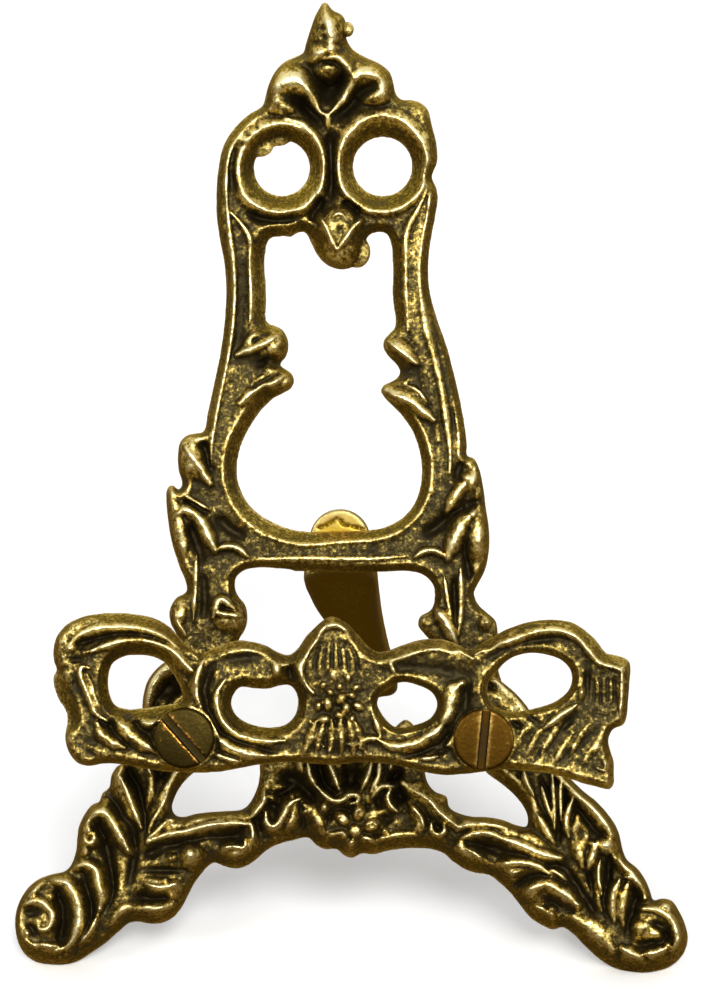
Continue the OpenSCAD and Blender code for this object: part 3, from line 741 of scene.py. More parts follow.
def upright_foot(sheet):
    """The leaves outside the rails, the crossbar and the lower rails."""
    sheet.ridge([(-23.2, 81.4), (-23, 78.8), (-21.2, 75.6)], [2.2, 2.2, 1], [6.2, 6.5, 5.8], 2.8,
            shine=0.06)
    sheet.ridge([(-26.6, 74.2), (-25.4, 69), (-24.4, 63)], [0.9, 2, 1.2], [5.4, 5.8, 5], 2.4, shine=0.07)
    # Crests with highlights painted along them
    sheet.ridges([
        (0.9, 6.9, (-24.2, 80.9), (-23.2, 79.4), (-21.8, 77.8), (-20.4, 75.4)),
        (1, 6.8, (-25.6, 70.6), (-24.2, 71.3), (-22.4, 70.4), (-21.1, 68), (-19.6, 65)),
        (0.6, 6.2, (-19.6, 65.1), (-18.2, 65.6), (-16.4, 65.5), (-14.4, 64))], shine=0.38)
    sheet.ridges([
        (0.5, 5.6, (-24.6, 73.8), (-22.6, 72.4), (-20.6, 71.4)),
        (0.5, 5.5, (-22.5, 64.4), (-22.7, 60), (-23, 54)),
        (0.6, 5.6, (18.5, 62.4), (18.6, 57.6), (18.3, 52)),
        (0.5, 5.4, (16, 61), (16.5, 57.4), (17.4, 53))], shine=0.16)
    sheet.grooves([
        (0.5, 1.6, (-24.8, 73), (-22.8, 71.9), (-20.6, 70.2)),
        (0.6, 1.5, (-21.6, 82.6), (-20.9, 79.4), (-20.2, 76)),
        (0.9, 1.5, (-19.6, 70.6), (-17.4, 68.4), (-14.4, 66.8)),
        (0.8, 1.3, (-23.8, 69.6), (-22.6, 66.4), (-21.2, 62.4)),
        (0.6, 1, (-21.4, 61.8), (-21.2, 57.6), (-21.4, 53.8)),
        (0.6, 1.2, (19.4, 79.4), (18.2, 77.6), (18, 75)),
        (0.9, 2, (19.6, 73), (17.4, 71), (14.8, 68.6), (12, 67.2)),
        (0.6, 1.5, (22.4, 72.9), (20.8, 72.4), (19.4, 71.8)),
        (0.6, 1.4, (19.6, 66.4), (19.6, 63), (20.2, 59.8)),
        (0.4, 1.1, (17.5, 61.4), (17.6, 57.6), (18, 54.6))])
    sheet.lumps([
        (20.4, 76, 2.6, 1.5, 6.6, 60), (21.2, 67.4, 4.4, 2, 6.7, 88), (-25.2, 54.8, 3, 1.6, 5.6, 80),
        (22.4, 54, 1.8, 1.4, 6, 60)], drop=2.4, shine=0.12)
    # Crests with highlights painted along them, then small domes with painted glints
    sheet.ridges([
        (0.9, 6.4, (19.6, 76), (18.2, 74.2), (16.4, 71.2)),
        (1.1, 6.8, (20.6, 70.8), (18.9, 69.2), (17.7, 66.8), (16.6, 63.9)),
        (0.6, 6, (16.4, 64), (14.6, 65), (12.8, 64.9), (11.4, 64)),
        (0.5, 6.2, (-25.9, 56), (-25.6, 54), (-24.2, 51.8))], shine=0.34)
    for u, v, size in ((19.6, 76.2, 0.9), (20.9, 77.8, 0.8), (20.4, 70.6, 0.9), (22.6, 54, 0.8)):
        sheet.lump((u, v), (size, size), 6.9, shine=0.4)
    # Faceted knobs at the inner corners
    sheet.lump((-17.4, 54.4), (3.2, 2.6), 6, 2.2, shine=0.06)
    # Facet crests with highlights painted along them
    sheet.ridges([
        (0.6, 6.8, (-19.9, 54.6), (-18.8, 57.4), (-16.6, 56)),
        (0.6, 6.8, (-19.8, 55.4), (-17.6, 55), (-15.4, 54.8)),
        (0.9, 6.6, (14.4, 56.2), (15.6, 54.8), (16.6, 53.2), (17.8, 50.8))], shine=0.36)
    sheet.ridge([(-13, 63.7), (-6.8, 63.8), (-0.1, 63.7), (6, 63.8), (10.6, 64.2)], 0.5, 5, 0.9, shine=0.1)


def upright_sheet():
    sheet = Sheet((-29, 26), (31.5, 152), 0.25, FACE_W, seed=11)
    sheet.wall(UPRIGHT_OUTLINE, 0.26)
    sheet.wall(UPRIGHT_WINDOW, 0.34 + 0.16 * ease((6 - sheet.U) / 18), hole=True)
    for centre, radius in (((-9.2, 124.4), 4.15), ((6.45, 124.5), 4.4)):
        sheet.wall(circle(centre, radius), 0.44, hole=True)
    sheet.top += 4.3
    # The ground is darker towards the bottom.
    sheet.stain_and_highlight -= 0.20 - 0.06 * ease((sheet.V - 76) / 6) - 0.05 * ease((sheet.V - 112) / 6)
    # A raised lip along the walls between heights 60 and 100, with a highlight painted along it
    sheet.rim(4.3, 0.7, 0.5, ease((100 - sheet.V) / 8) * ease((sheet.V - 60) / 6))
    sheet.plump([
        (-9.6, 97.4, 4), (-9, 91.6, 3.6), (8.2, 96.8, 3.4), (8, 89.6, 3.4), (-23.6, 80.4, 4.4),
        (-26.4, 70, 6), (21.4, 76, 4.4), (22.4, 67, 5.4), (-15.6, 55.6, 3.4), (13.4, 54.6, 3.2),
        (-25.6, 54.8, 3.6), (23, 54, 3), (-2.4, 146, 5.6), (-9.4, 138, 4), (6.4, 138.4, 4),
        (-0.2, 110.6, 3.4)])
    upright_top(sheet)
    upright_rails(sheet)
    upright_foot(sheet)
    sheet.age(0.035)
    # The lap under the base, out of sight behind the ledge
    sheet.top = np.where(sheet.V < 49, np.minimum(sheet.top, 3), sheet.top)
    return sheet


def build_upright(material):
    sheet = upright_sheet()
    field = sheet.volume(-8.7, 8.8, rise=0.3, rounding=0.35)
    # Hinge ears behind the crossbar, bored for the pin
    box = sheet.window(np.array([-9, 60]), np.array([9, 69]))
    u, v, w = sheet.U[box][:, :, None], sheet.V[box][:, :, None] - HINGE_V, sheet.w[None, None, :]
    pin_gap = np.hypot(v, w - HINGE_W)
    ear_thickness = 1.2 - np.abs(np.abs(u) - 6.4)
    profile = smooth_max(2.7 - pin_gap, np.minimum(2.2 - np.abs(v), w - HINGE_W), 0.2)
    ears = smooth_min(smooth_min(profile, ear_thickness, 0.4), 1.5 - w, 0.3)
    ears = smooth_min(ears, pin_gap - (PIN_R + 0.03), 0.1)
    field[box] = smooth_max(field[box], ears, 0.6)
    # Casting blobs: an ear beside the finial, flash in the left ring, a sprue stub at the beak
    for spot, radii in (((1, 145.8, 3), (1, 1.2, 1.2)), ((-12.7, 127.8, 0.9), (2.2, 1.7, 0.9)),
                        ((-9.6, 129.1, 0.9), (1.8, 1.3, 0.9)), ((2.5, 111.3, 1.2), (2.1, 2.5, 1.2))):
        box = sheet.window(np.array(spot[:2]) - 4, np.array(spot[:2]) + 4)
        grids = (sheet.U[box][:, :, None], sheet.V[box][:, :, None], sheet.w[None, None, :])
        r = np.sqrt(sum(((grid - mid) / size) ** 2 for grid, mid, size in zip(grids, spot, radii)))
        field[box] = smooth_max(field[box], (1 - r) * min(radii), 0.4)
    return mesh_sheet("upright_casting", sheet, field, material)


# ---- The base casting: legs and garland ----

BASE_OUTLINE = [
    (-20.5, 46.8), (-23.4, 48.6), (-26.2, 48.6), (-28.4, 47.5), (-30.5, 45), (-31.3, 42.4), (-31.6, 39),
    (-33, 34.8), (-35, 31.5), (-35.9, 30), (-36.3, 28), (-37.3, 27.2), (-37.8, 25.9), (-38.9, 25.4),
    (-40.1, 23.9), (-41, 22), (-41.3, 20), (-41.5, 18), (-42.3, 15.9), (-43.2, 15), (-45.2, 14.5),
    (-47.5, 13.6), (-49.2, 12.1), (-50.4, 10.1), (-51, 8), (-51, 5.6), (-50.5, 3.4), (-49.4, 1.7),
    (-47.6, 0.5), (-45.4, 0), (-43.4, 0), (-41.2, 0.7), (-38.8, 2.2), (-36.4, 3.9), (-34.4, 5.7),
    (-33, 6.8), (-31.5, 7), (-29.8, 6.7), (-28, 6.8), (-26.2, 7.7), (-24.8, 9.3), (-23.8, 11.2),
    (-22.8, 13.1), (-21.6, 14.7), (-20.6, 15.8), (-19.7, 16.3), (-18.3, 15.8), (-16.4, 15.4),
    (-14.6, 15.9), (-13, 17), (-11.4, 18.4), (-9.6, 19.3), (-7.4, 19.9), (-5.1, 20.3), (-3.9, 19.2),
    (-2.4, 18.5), (-0.8, 18.6), (0.4, 17.6), (1.8, 17.2), (3.2, 17.9), (5, 17.8), (7.4, 18.4),
    (10.8, 18.8), (13.8, 18.7), (15.8, 18.1), (17.3, 16.8), (19.2, 15.6), (21.2, 15), (22.8, 14.8),
    (24.6, 13.5), (26.2, 12), (27.7, 10.1), (29.3, 8.2), (31.2, 7), (32.8, 6.4), (34.2, 6.8), (35.7, 5.9),
    (37.5, 4.1), (39.9, 1.9), (42.3, 0.5), (44.6, -0.2), (47, -0.4), (49.3, 0.2), (51.5, 1.4), (53, 3.3),
    (53.5, 5.6), (53, 7.8), (52, 9.9), (51, 11.3), (49.4, 11.6), (48.2, 11.3), (47.8, 12.4), (47.1, 14.2),
    (45.8, 16.1), (44.1, 17.6), (43.4, 19.6), (42.8, 22), (41.4, 24.3), (39.4, 26.5), (37.4, 28.1),
    (34.6, 31), (31.6, 36.6), (29, 41.4), (25.6, 44.8), (22.4, 46.6), (19.4, 46.2), (17.6, 43.6),
    (18.2, 39.4), (20.2, 34.6), (22.4, 30.7), (24.6, 29), (26.6, 27.3), (28.1, 25.5), (28.8, 23.9),
    (28.6, 22.5), (27.2, 22.7), (25, 23.5), (22.6, 23.9), (20.2, 24), (18.2, 24.5), (16.8, 25.4),
    (16.4, 27), (14.6, 27.8), (13.5, 29.1), (13, 31), (11.8, 35.6), (11.2, 38.2), (10, 38.9), (8.8, 38.2),
    (7.4, 36.6), (4.6, 39), (0, 40.4), (-4.4, 38.8), (-7.6, 35.6), (-10.6, 34.2), (-12.6, 32.4),
    (-12.7, 30.2), (-13.2, 27.9), (-14.2, 25.9), (-15.3, 24.9), (-17.4, 24.6), (-20.2, 24.4),
    (-22.6, 24.1), (-24.6, 23.6), (-25.8, 23.9), (-26.3, 24.9), (-25.9, 26.4), (-25, 28.1), (-23.6, 29.7),
    (-21.2, 31.6), (-18.8, 35.6), (-18, 40)]

LEG_HOLLOWS = 0.85           # share of the drawn depth that the base's hollows have


def left_leg(sheet):
    # Plump bodies: top leaves, hook, second leaf, foot, inner rail, bar, lobes
    sheet.ridges([
        (1.5, 7, (-34.8, 32), (-34.4, 29), (-33.2, 25.6), (-31.6, 22)),
        (1, 6.6, (-30, 32), (-29.6, 28.6), (-30.4, 24.6)),
        (1.8, 7.4, (-40, 18), (-39.8, 21.6), (-38, 23.8), (-35.6, 22.4), (-33.6, 18.6)),
        (1.2, 7, (-41, 15.4), (-39, 15.6), (-37.8, 12.6), (-37.8, 8.8)),
        (1.2, 7, (-43.6, 13.6), (-41.4, 11.4), (-40.8, 7.6), (-42, 3.6)),
        (1, 6.6, (-37.8, 9), (-39, 6), (-40.8, 3.2)),
        (1.7, 6.6, (-23, 32.6), (-25.8, 28.6), (-28.4, 24.6), (-30.2, 20.6)),
        (1.6, 7, (-29.6, 20.6), (-26, 22), (-21, 22.9), (-14.6, 23.4)),
        (1.6, 6.8, (-14.4, 22.6), (-14.4, 20), (-16, 17.6), (-18.4, 17.2))], drop=2.6, shine=0.07)
    sheet.lumps([
        (-23.2, 17.4, 2.4, 2.2, 7.6, -40), (-26.4, 17.2, 1.6, 1, 6.8, 10), (-28.4, 13.2, 3.4, 1.2, 7, -8),
        (-29, 9, 3.8, 2.2, 6.8, 6), (-26.4, 12.2, 1.8, 1.8, 7, 0), (-34.2, 8.6, 3.4, 2, 6.2, 45),
        (-46.4, 7.4, 5, 5.6, 7.2, 0)], drop=2.4, shine=0.08)
    # Hollows
    sheet.hollows([
        (-32.2, 28.4, 3.4, 0.9, 3.4, -68), (-31.6, 24.6, 2.4, 0.6, 2, -72), (-36.6, 27, 1.2, 0.8, 2.4, 30),
        (-35.2, 25, 1.8, 0.8, 2.6, -56), (-37.1, 20.4, 2.9, 1.5, 3.2, -82), (-36, 15.6, 3.2, 0.8, 3, -84),
        (-36.2, 11.6, 2.2, 0.7, 2.4, 76), (-39.6, 11, 3.2, 0.7, 3, -80), (-39.8, 6.2, 1.6, 0.5, 2.4, 60),
        (-43.9, 9.4, 2.9, 1, 4, 84), (-43.6, 5.6, 1.8, 0.7, 2.8, 76), (-48.4, 8.4, 1.5, 0.9, 2.2, 15),
        (-48.3, 5.8, 1.5, 0.7, 2, -50), (-29.8, 11, 2.6, 0.9, 3.2, 2), (-24.6, 19.7, 3.6, 0.6, 2.2, 16),
        (-17.8, 20.6, 2.8, 1.2, 2.8, 0), (-27.4, 15.2, 2.8, 0.5, 2, 0), (-29.4, 17.9, 1.4, 0.8, 2.2, 15),
        (-32.4, 19.4, 2.4, 0.7, 2.2, 84), (-32.6, 15.2, 2.8, 0.7, 2, 78), (-28, 30.4, 1.4, 0.8, 2, 60)],
        LEG_HOLLOWS, dirt=0.2)
    # Bright crests, with highlights painted along them
    sheet.ridges([
        (0.6, 8, (-34.3, 29.4), (-33.2, 26.8), (-32.3, 24.4), (-31.2, 21.8)),
        (0.8, 8.5, (-39.9, 22.2), (-38.8, 23.9), (-37.2, 24.2), (-35.6, 22.4), (-34.6, 20.6),
            (-33.2, 18.2)),
        (0.6, 7.8, (-40.2, 20.6), (-39.7, 19.4), (-38.7, 19.6), (-38.6, 21)),
        (0.75, 8.1, (-41.4, 15.7), (-39.8, 16), (-38.4, 15.2), (-37.9, 13), (-37.4, 11), (-37.7, 9)),
        (0.9, 8.2, (-44.6, 13.4), (-43, 13.1), (-41.8, 11.6), (-41.1, 9.4), (-41, 7), (-41.7, 4.6),
            (-42.8, 3)),
        (0.5, 7.4, (-38.2, 7.8), (-39.2, 5.6), (-40.9, 3.6)),
        (0.5, 7.2, (-26.6, 28.2), (-27.6, 25.8), (-29.4, 22.8), (-30.2, 20.4)),
        (0.5, 7.9, (-30.4, 19.8), (-28.6, 21.4), (-27.2, 22.8)),
        (0.7, 8.1, (-30.2, 19.6), (-27.4, 20.7), (-24.2, 21.3), (-20.4, 22.3), (-17, 22.6), (-14, 22.5)),
        (0.5, 7.4, (-27.2, 23.1), (-23.6, 23.1), (-19.6, 23.8), (-15.6, 24.3)),
        (0.5, 7.8, (-14.1, 22.8), (-13.7, 21), (-14, 19.2)),
        (0.5, 7.5, (-18.9, 17.8), (-17.8, 18.8), (-16.2, 18.9), (-15, 18.8), (-14.9, 20.2)),
        (0.6, 8, (-30.4, 13.1), (-28.8, 12.6), (-27, 12.7), (-25.6, 13.3)),
        (0.6, 7.6, (-30.8, 8.2), (-29, 8.9), (-26.8, 9.3))], shine=0.38)
    # Small domes with painted glints
    sheet.lumps([
        (-35, 30.2, 0.9, 1.3, 8, 0), (-39.4, 21.2, 0.7, 1, 8.2, 0), (-23.4, 17.6, 1.3, 1.6, 8.3, 20),
        (-26.6, 17.1, 0.6, 0.5, 7.6, 0), (-26, 12.9, 0.8, 0.8, 8, 0), (-27.4, 13.7, 0.5, 0.4, 7.6, 0),
        (-48.4, 11.8, 1.9, 1, 7.9, 42), (-43.6, 13.2, 1.2, 0.8, 8.2, -20), (-45.9, 3.2, 2.2, 0.8, 7.9, -4),
        (-49.2, 5.2, 0.7, 0.8, 7.6, 0), (-29.8, 30.4, 0.4, 1, 7.4, 20)], shine=0.4)
    # The volute's inner curl
    sheet.ridge([(-49.6, 9.6), (-48, 10.2), (-46.2, 9.6), (-45.2, 7.8), (-45.8, 6), (-47.2, 5.9),
            (-47.4, 7.2)], [0.7, 1, 0.9, 0.8, 0.7, 0.6, 0.4], 7.9, 2.2, shine=0.24)
    sheet.ridge(spiral((-45.8, 7.3), 5.4, 5, 118, 178), 0.9, 7.4, 2.2, shine=0.12)


def right_leg(sheet):
    sheet.ridges([
        (1.8, 7.6, (33.8, 30.4), (37.2, 27.6), (40, 24.6), (41.6, 20.6)),
        (1.7, 6.4, (24.4, 31.6), (27.6, 27.8), (30.3, 23.8), (33.4, 18.8)),
        (1.6, 7.2, (36.6, 24), (36.8, 20.4), (37.4, 16.4)),
        (1.4, 7.2, (42, 18), (44.4, 16.2), (46.4, 13.6), (46.8, 11.6)),
        (1.5, 6.9, (44.2, 13.6), (43.6, 10.6), (43.8, 7.4)),
        (1.5, 7, (18.2, 21.8), (21.6, 22.6), (25.4, 21.9), (30, 19.9), (33.8, 17.8)),
        (1.6, 6.9, (18.6, 20.6), (18.8, 18.2), (21.4, 16.4), (23.4, 15.8)),
        (1.5, 7.1, (23.8, 15.2), (27, 15.9), (30.4, 15.6), (33.8, 14)),
        (1.8, 7.2, (28, 11.2), (30, 12.2), (33.2, 12.2), (36.6, 10.2)),
        (1.3, 6.6, (39.4, 17.6), (39.8, 13.6), (40.4, 9.6)),
        (2.2, 6.6, (34, 7.4), (38.4, 7), (42, 3.6))], drop=2.6, shine=0.07)
    sheet.lumps([
        (48.6, 6, 5.6, 5.4, 7.2, 0), (50.2, 10, 2, 1.6, 7.4, 0), (31.4, 8.8, 2.4, 1.5, 6.8, -25)],
        drop=2.4, shine=0.08)
    sheet.hollows([
        (37.9, 24.6, 2.2, 0.9, 2.4, -48), (39.6, 22.4, 1.6, 0.7, 2.2, -62), (37, 21.4, 1.3, 0.8, 1.6, 80),
        (34.3, 25, 3.4, 0.45, 2, 86), (32, 26, 3.4, 0.45, 2.2, -74), (33.4, 22, 2.4, 0.4, 1.8, 88),
        (42.3, 19.6, 1.8, 0.6, 2.4, -70), (41.2, 15, 3, 0.6, 3, 84), (40.9, 10.6, 2, 0.6, 2.4, -76),
        (45.6, 11.6, 2.4, 0.9, 2.6, 76), (44.6, 8, 2.4, 0.8, 2.8, 86), (38.4, 15, 2.4, 0.4, 2, -80),
        (22.5, 19.6, 2, 1.1, 3.4, -14), (28.4, 17.9, 3.8, 0.7, 3.2, -7), (32.8, 16.6, 1.8, 0.5, 2, -20),
        (28.4, 13.7, 2.2, 0.6, 3, 28), (32.8, 14, 2.6, 0.5, 2.4, -14), (33.4, 10.8, 2.2, 0.8, 2.8, -20),
        (36.2, 13.6, 3, 0.7, 1.8, -60), (38.6, 10.2, 1.6, 0.6, 1.8, -60), (47.8, 4.5, 2, 0.7, 3.2, 4),
        (50.2, 5.8, 0.7, 1.4, 3.2, 6), (48.9, 7.4, 1, 0.6, 1.8, -20), (22.6, 21.9, 3, 0.28, 1.2, 2)],
        LEG_HOLLOWS, dirt=0.2)
    # Crests with highlights painted along them
    sheet.ridges([
        (1.1, 8.4, (34.8, 29.2), (36.8, 28), (38.8, 26.2), (40.6, 23.8), (41.8, 21.2)),
        (0.5, 7.8, (35.8, 26.8), (35.2, 25.2), (34.8, 23), (35.2, 20.8)),
        (0.5, 7.4, (28.2, 31), (28.8, 29), (29.8, 27.2)),
        (0.6, 7.8, (30.3, 24.4), (31.4, 22.4), (32.9, 20)),
        (0.4, 7.4, (31, 28.6), (31.8, 26), (32.6, 23.6)),
        (0.4, 7.6, (32.6, 30.4), (32.9, 26.6), (33, 22)),
        (0.4, 7.4, (34, 30), (33.9, 27.4), (34, 23.4)),
        (0.7, 8, (39.6, 20.2), (38.9, 18.2), (38.2, 16.2)),
        (0.4, 7.4, (40, 17.6), (39.7, 15), (40.2, 12)),
        (0.9, 8.2, (43, 17.3), (44.8, 16), (46.2, 14.4), (46.9, 12.6)),
        (0.45, 7.8, (43.8, 14.8), (45, 14.7), (46, 13.6)),
        (0.6, 7.8, (43, 14.4), (42.2, 12.6), (41.9, 10.4), (42.2, 8)),
        (0.8, 7.9, (18.2, 22.2), (21, 23), (24, 22.9), (26.8, 22.1)),
        (0.6, 8.1, (18.8, 20.6), (20.6, 21.3), (23, 21.3), (25.4, 20.4)),
        (0.9, 8.4, (24.6, 20.7), (28, 19.5), (31, 18.2), (33.9, 17.6)),
        (0.5, 7.6, (19.2, 19), (20.6, 18.2), (22, 17)),
        (0.8, 8.1, (23.8, 15.8), (25.8, 16.7), (28.4, 16.8), (30.6, 16.2), (32.2, 15.2)),
        (0.45, 7.8, (24.8, 14.7), (26.4, 15.2), (27.8, 15.7)),
        (0.4, 7.6, (32.2, 15.9), (33.4, 15.3), (34.8, 14.2)),
        (0.9, 8.5, (28.2, 11.8), (29.8, 13), (31.8, 13.5), (34, 12.4), (36.6, 10.4)),
        (0.6, 7.9, (30.1, 10.2), (31.4, 9), (33.2, 8.2)),
        (0.7, 8, (46.6, 9.9), (48.6, 9.8), (50.6, 8.6), (51.7, 6.6), (51.8, 4.8), (50.9, 3.2)),
        (0.8, 8.1, (46.8, 2.9), (48.6, 3), (50.2, 3.9)),
        (0.9, 8.3, (43.4, 3.8), (44.8, 2.8), (46.6, 1.6))], shine=0.38)
    # Small domes with painted glints
    sheet.lumps([
        (40.8, 19.6, 1.5, 1.3, 8.5, 0), (38.8, 19.9, 0.7, 0.5, 8, 0), (37, 28, 1.8, 0.8, 8.6, -40),
        (44.9, 2.8, 1.4, 0.9, 8.3, -24), (50, 10.4, 1.3, 0.9, 7.9, 10), (32.6, 9.7, 0.6, 0.5, 7.6, 0),
        (50.4, 4.3, 0.6, 0.7, 8, 0)], shine=0.4)
    sheet.lump((46.6, 7), (1.9, 1.9), 7.4, 2.2, shine=-0.02)


def garland(sheet):
    sheet.lump((1, 27), (11, 9), 6, 1.4, soft=0.6, shine=0)
    sheet.hollows([
        (-7.6, 29.4, 2.2, 1.2, 3.4, -10), (-2.4, 29.6, 2.6, 1, 4, -66), (1.6, 29.8, 3, 1.5, 4.2, 90),
        (8.4, 30.2, 1.6, 1, 3.4, 80), (9.2, 27, 1.1, 1.1, 3.2, 0), (6.2, 26.4, 1, 1.3, 2.8, 0),
        (-4.9, 27.2, 1.6, 0.8, 2.8, -40), (-10.2, 25.6, 1.3, 1.6, 2.6, 20),
        (-8.6, 27.6, 1.8, 0.6, 2.6, 20), (3.4, 25.2, 1.4, 0.6, 2.4, 10), (-6.4, 23, 1, 1.6, 2.4, 20),
        (-2, 23.8, 1.2, 0.7, 2.4, 50), (5.4, 20.2, 1.2, 0.7, 2.2, 20), (7, 23.4, 1.3, 0.8, 2, 30),
        (12, 25.4, 2.6, 0.5, 2.4, -44), (13.4, 23.2, 1.2, 0.6, 2.2, -50), (-12.8, 22.4, 0.6, 1.4, 2, 0),
        (-9.4, 20.9, 2.4, 0.5, 1.8, 12), (0.6, 24.6, 1, 0.5, 2.4, 0), (-0.4, 20, 0.9, 0.6, 2.4, 60),
        (15, 22.2, 0.5, 0.5, 1.6, 0)], LEG_HOLLOWS, dirt=0.2)
    sheet.ridges([
        (1.1, 7, (-7.6, 26.8), (-7.4, 24.4), (-8.4, 21.6)),
        (1.2, 7, (-5.8, 25.6), (-4, 24), (-2.8, 21.4)),
        (1.4, 7, (9.6, 29), (12.8, 26.8), (16, 23.8), (18.2, 22)),
        (1.2, 6.8, (10.6, 26), (12, 23.6), (12.4, 20.6)),
        (1.2, 6.8, (6.4, 20.4), (9.6, 20.6), (13.4, 20.2), (16.4, 18.8))], drop=2.4, shine=0.02)
    # Rosette: six nubbly petals round a knob
    centre = (2.2, 21.6)
    for angle in range(18, 378, 60):
        a = math.radians(angle)
        tip = (centre[0] + 2.7 * math.cos(a), centre[1] + 2.8 * math.sin(a))
        sheet.lump(tip, (1.7, 1.1), 7.7, 2.4, angle=angle, shine=0.12)
        sheet.lump((tip[0] + 0.5 * math.cos(a), tip[1] + 0.5 * math.sin(a)), (0.6, 0.45), 8.2, shine=0.4)
        sheet.bump(tip, (0.9, 0.3), -0.8, angle, dirt=0.35)
    sheet.lump(centre, (1, 1), 8.3, shine=0.26)
    sheet.bump(centre, (0.4, 0.4), -0.8)
    # Crests with highlights painted along them
    sheet.ridges([
        (0.6, 7.8, (-6.2, 33), (-6.4, 31.8), (-6, 30.6)),
        (0.5, 7.8, (-5.2, 32), (-4.8, 30), (-3.9, 28.4)),
        (0.5, 7.6, (-3.6, 28.2), (-2.4, 27), (-1.2, 26.2), (0.4, 26.4), (1.2, 27.1), (2.6, 27),
            (2.6, 26.1), (1.4, 25.8)),
        (0.5, 7.8, (-2, 32.4), (-1.2, 30.4), (-0.3, 28)),
        (0.5, 7.6, (3.2, 28), (4.2, 30.2), (4.8, 32.4)),
        (0.6, 7.4, (6, 32.4), (5.7, 29.8), (4.6, 27.6)),
        (0.4, 7.4, (7.8, 32), (7.6, 31)),
        (0.5, 7.6, (4.8, 26.9), (6.2, 28.4), (8.2, 28.5)),
        (0.5, 7.6, (7.8, 28.2), (7.2, 26.9), (7.8, 25.4), (8.8, 24.6)),
        (0.5, 7.8, (11.4, 27.8), (13.6, 26.4), (15.4, 24.4), (18, 22.4)),
        (0.5, 7.7, (14, 22.9), (14.1, 21.5), (15.1, 20.9), (16, 21.6), (15.9, 22.7)),
        (0.6, 7.9, (-11.7, 24.4), (-11.5, 22.7), (-10.6, 22), (-9.7, 22.6), (-8.8, 24.2), (-7.8, 25.8),
            (-6.4, 26.5)),
        (0.5, 7.4, (-12, 27.8), (-12, 26.2), (-12.9, 24.8), (-14.2, 23.4)),
        (0.4, 7.4, (10.8, 25.6), (12.2, 24), (12.9, 22))], shine=0.34)
    # Small domes with painted glints
    sheet.lumps([
        (-2.6, 25.2, 0.7, 0.9, 8, 0), (-5.5, 24.6, 0.8, 0.4, 7.6, 30), (-3.7, 21.4, 0.8, 0.5, 7.6, -20),
        (-1.2, 20.8, 0.8, 0.5, 7.8, -20), (6.8, 21.6, 0.6, 0.6, 7.6, 0), (9.8, 24.7, 0.4, 0.4, 7.4, 0),
        (-10.8, 26.6, 0.7, 0.4, 7.2, -30)], shine=0.4)


def base_sheet():
    sheet = Sheet((-53, 55.5), (-2, 50), 0.25, FACE_W, seed=12)
    sheet.wall(BASE_OUTLINE, 0.13, toward=(0, -1), extra=0.22)
    sheet.top += 4.4 + 1 * ease(sheet.inset(4) / 3)
    sheet.stain_and_highlight -= 0.11
    left_leg(sheet)
    right_leg(sheet)
    garland(sheet)
    # What shows of the legs' tops through the ledge's loops, with a highlight painted along them
    sheet.ridges([
        (1.6, 7.4, (-30.2, 41), (-29.6, 43.8), (-27.8, 46.2), (-25.6, 47.2), (-23, 47)),
        (1.6, 7.2, (24, 45), (26.6, 42.6), (29.4, 38.8))], shine=0.5)
    sheet.bump((-27, 43.4), (2, 1.4), -1.6, 20)
    # Flats for the spacers
    for u in (-SCREW_U, SCREW_U):
        gap = np.hypot(sheet.U - u, sheet.V - SPACER_MID_V)
        sheet.top += (BASE_FACE - sheet.top) * ease((6.4 - gap) / 1.2)
    sheet.top = np.maximum(sheet.top, 2.6 + 1.4 * ease((sheet.V - 30) / 2))
    sheet.age(0.035)
    # Pockets at the back for the upright's lugs
    sheet.back += 2.9 * ease((np.abs(sheet.U) - 14) / 0.25) * ease((sheet.V - 31.4) / 0.25)
    return sheet


def build_base(material):
    sheet = base_sheet()
    field = sheet.volume(-0.6, 9.6, rise=0.3, rounding=0.8)
    # Flat feet: the table's plane, allowing for the taper
    w = sheet.w[None, None, :]
    share = (APEX[2] - w) / (APEX[2] - sheet.drawn_w)
    tapered_v = APEX[1] + (sheet.V[:, :, None] - APEX[1]) * share
    table = ORIGIN[2] + tapered_v * math.cos(LEAN) + w * math.sin(LEAN)
    field = smooth_min(field, table.astype(np.float32), 0.2).astype(np.float32)
    return mesh_sheet("leg_casting", sheet, field, material)


# ---- The front ledge ----

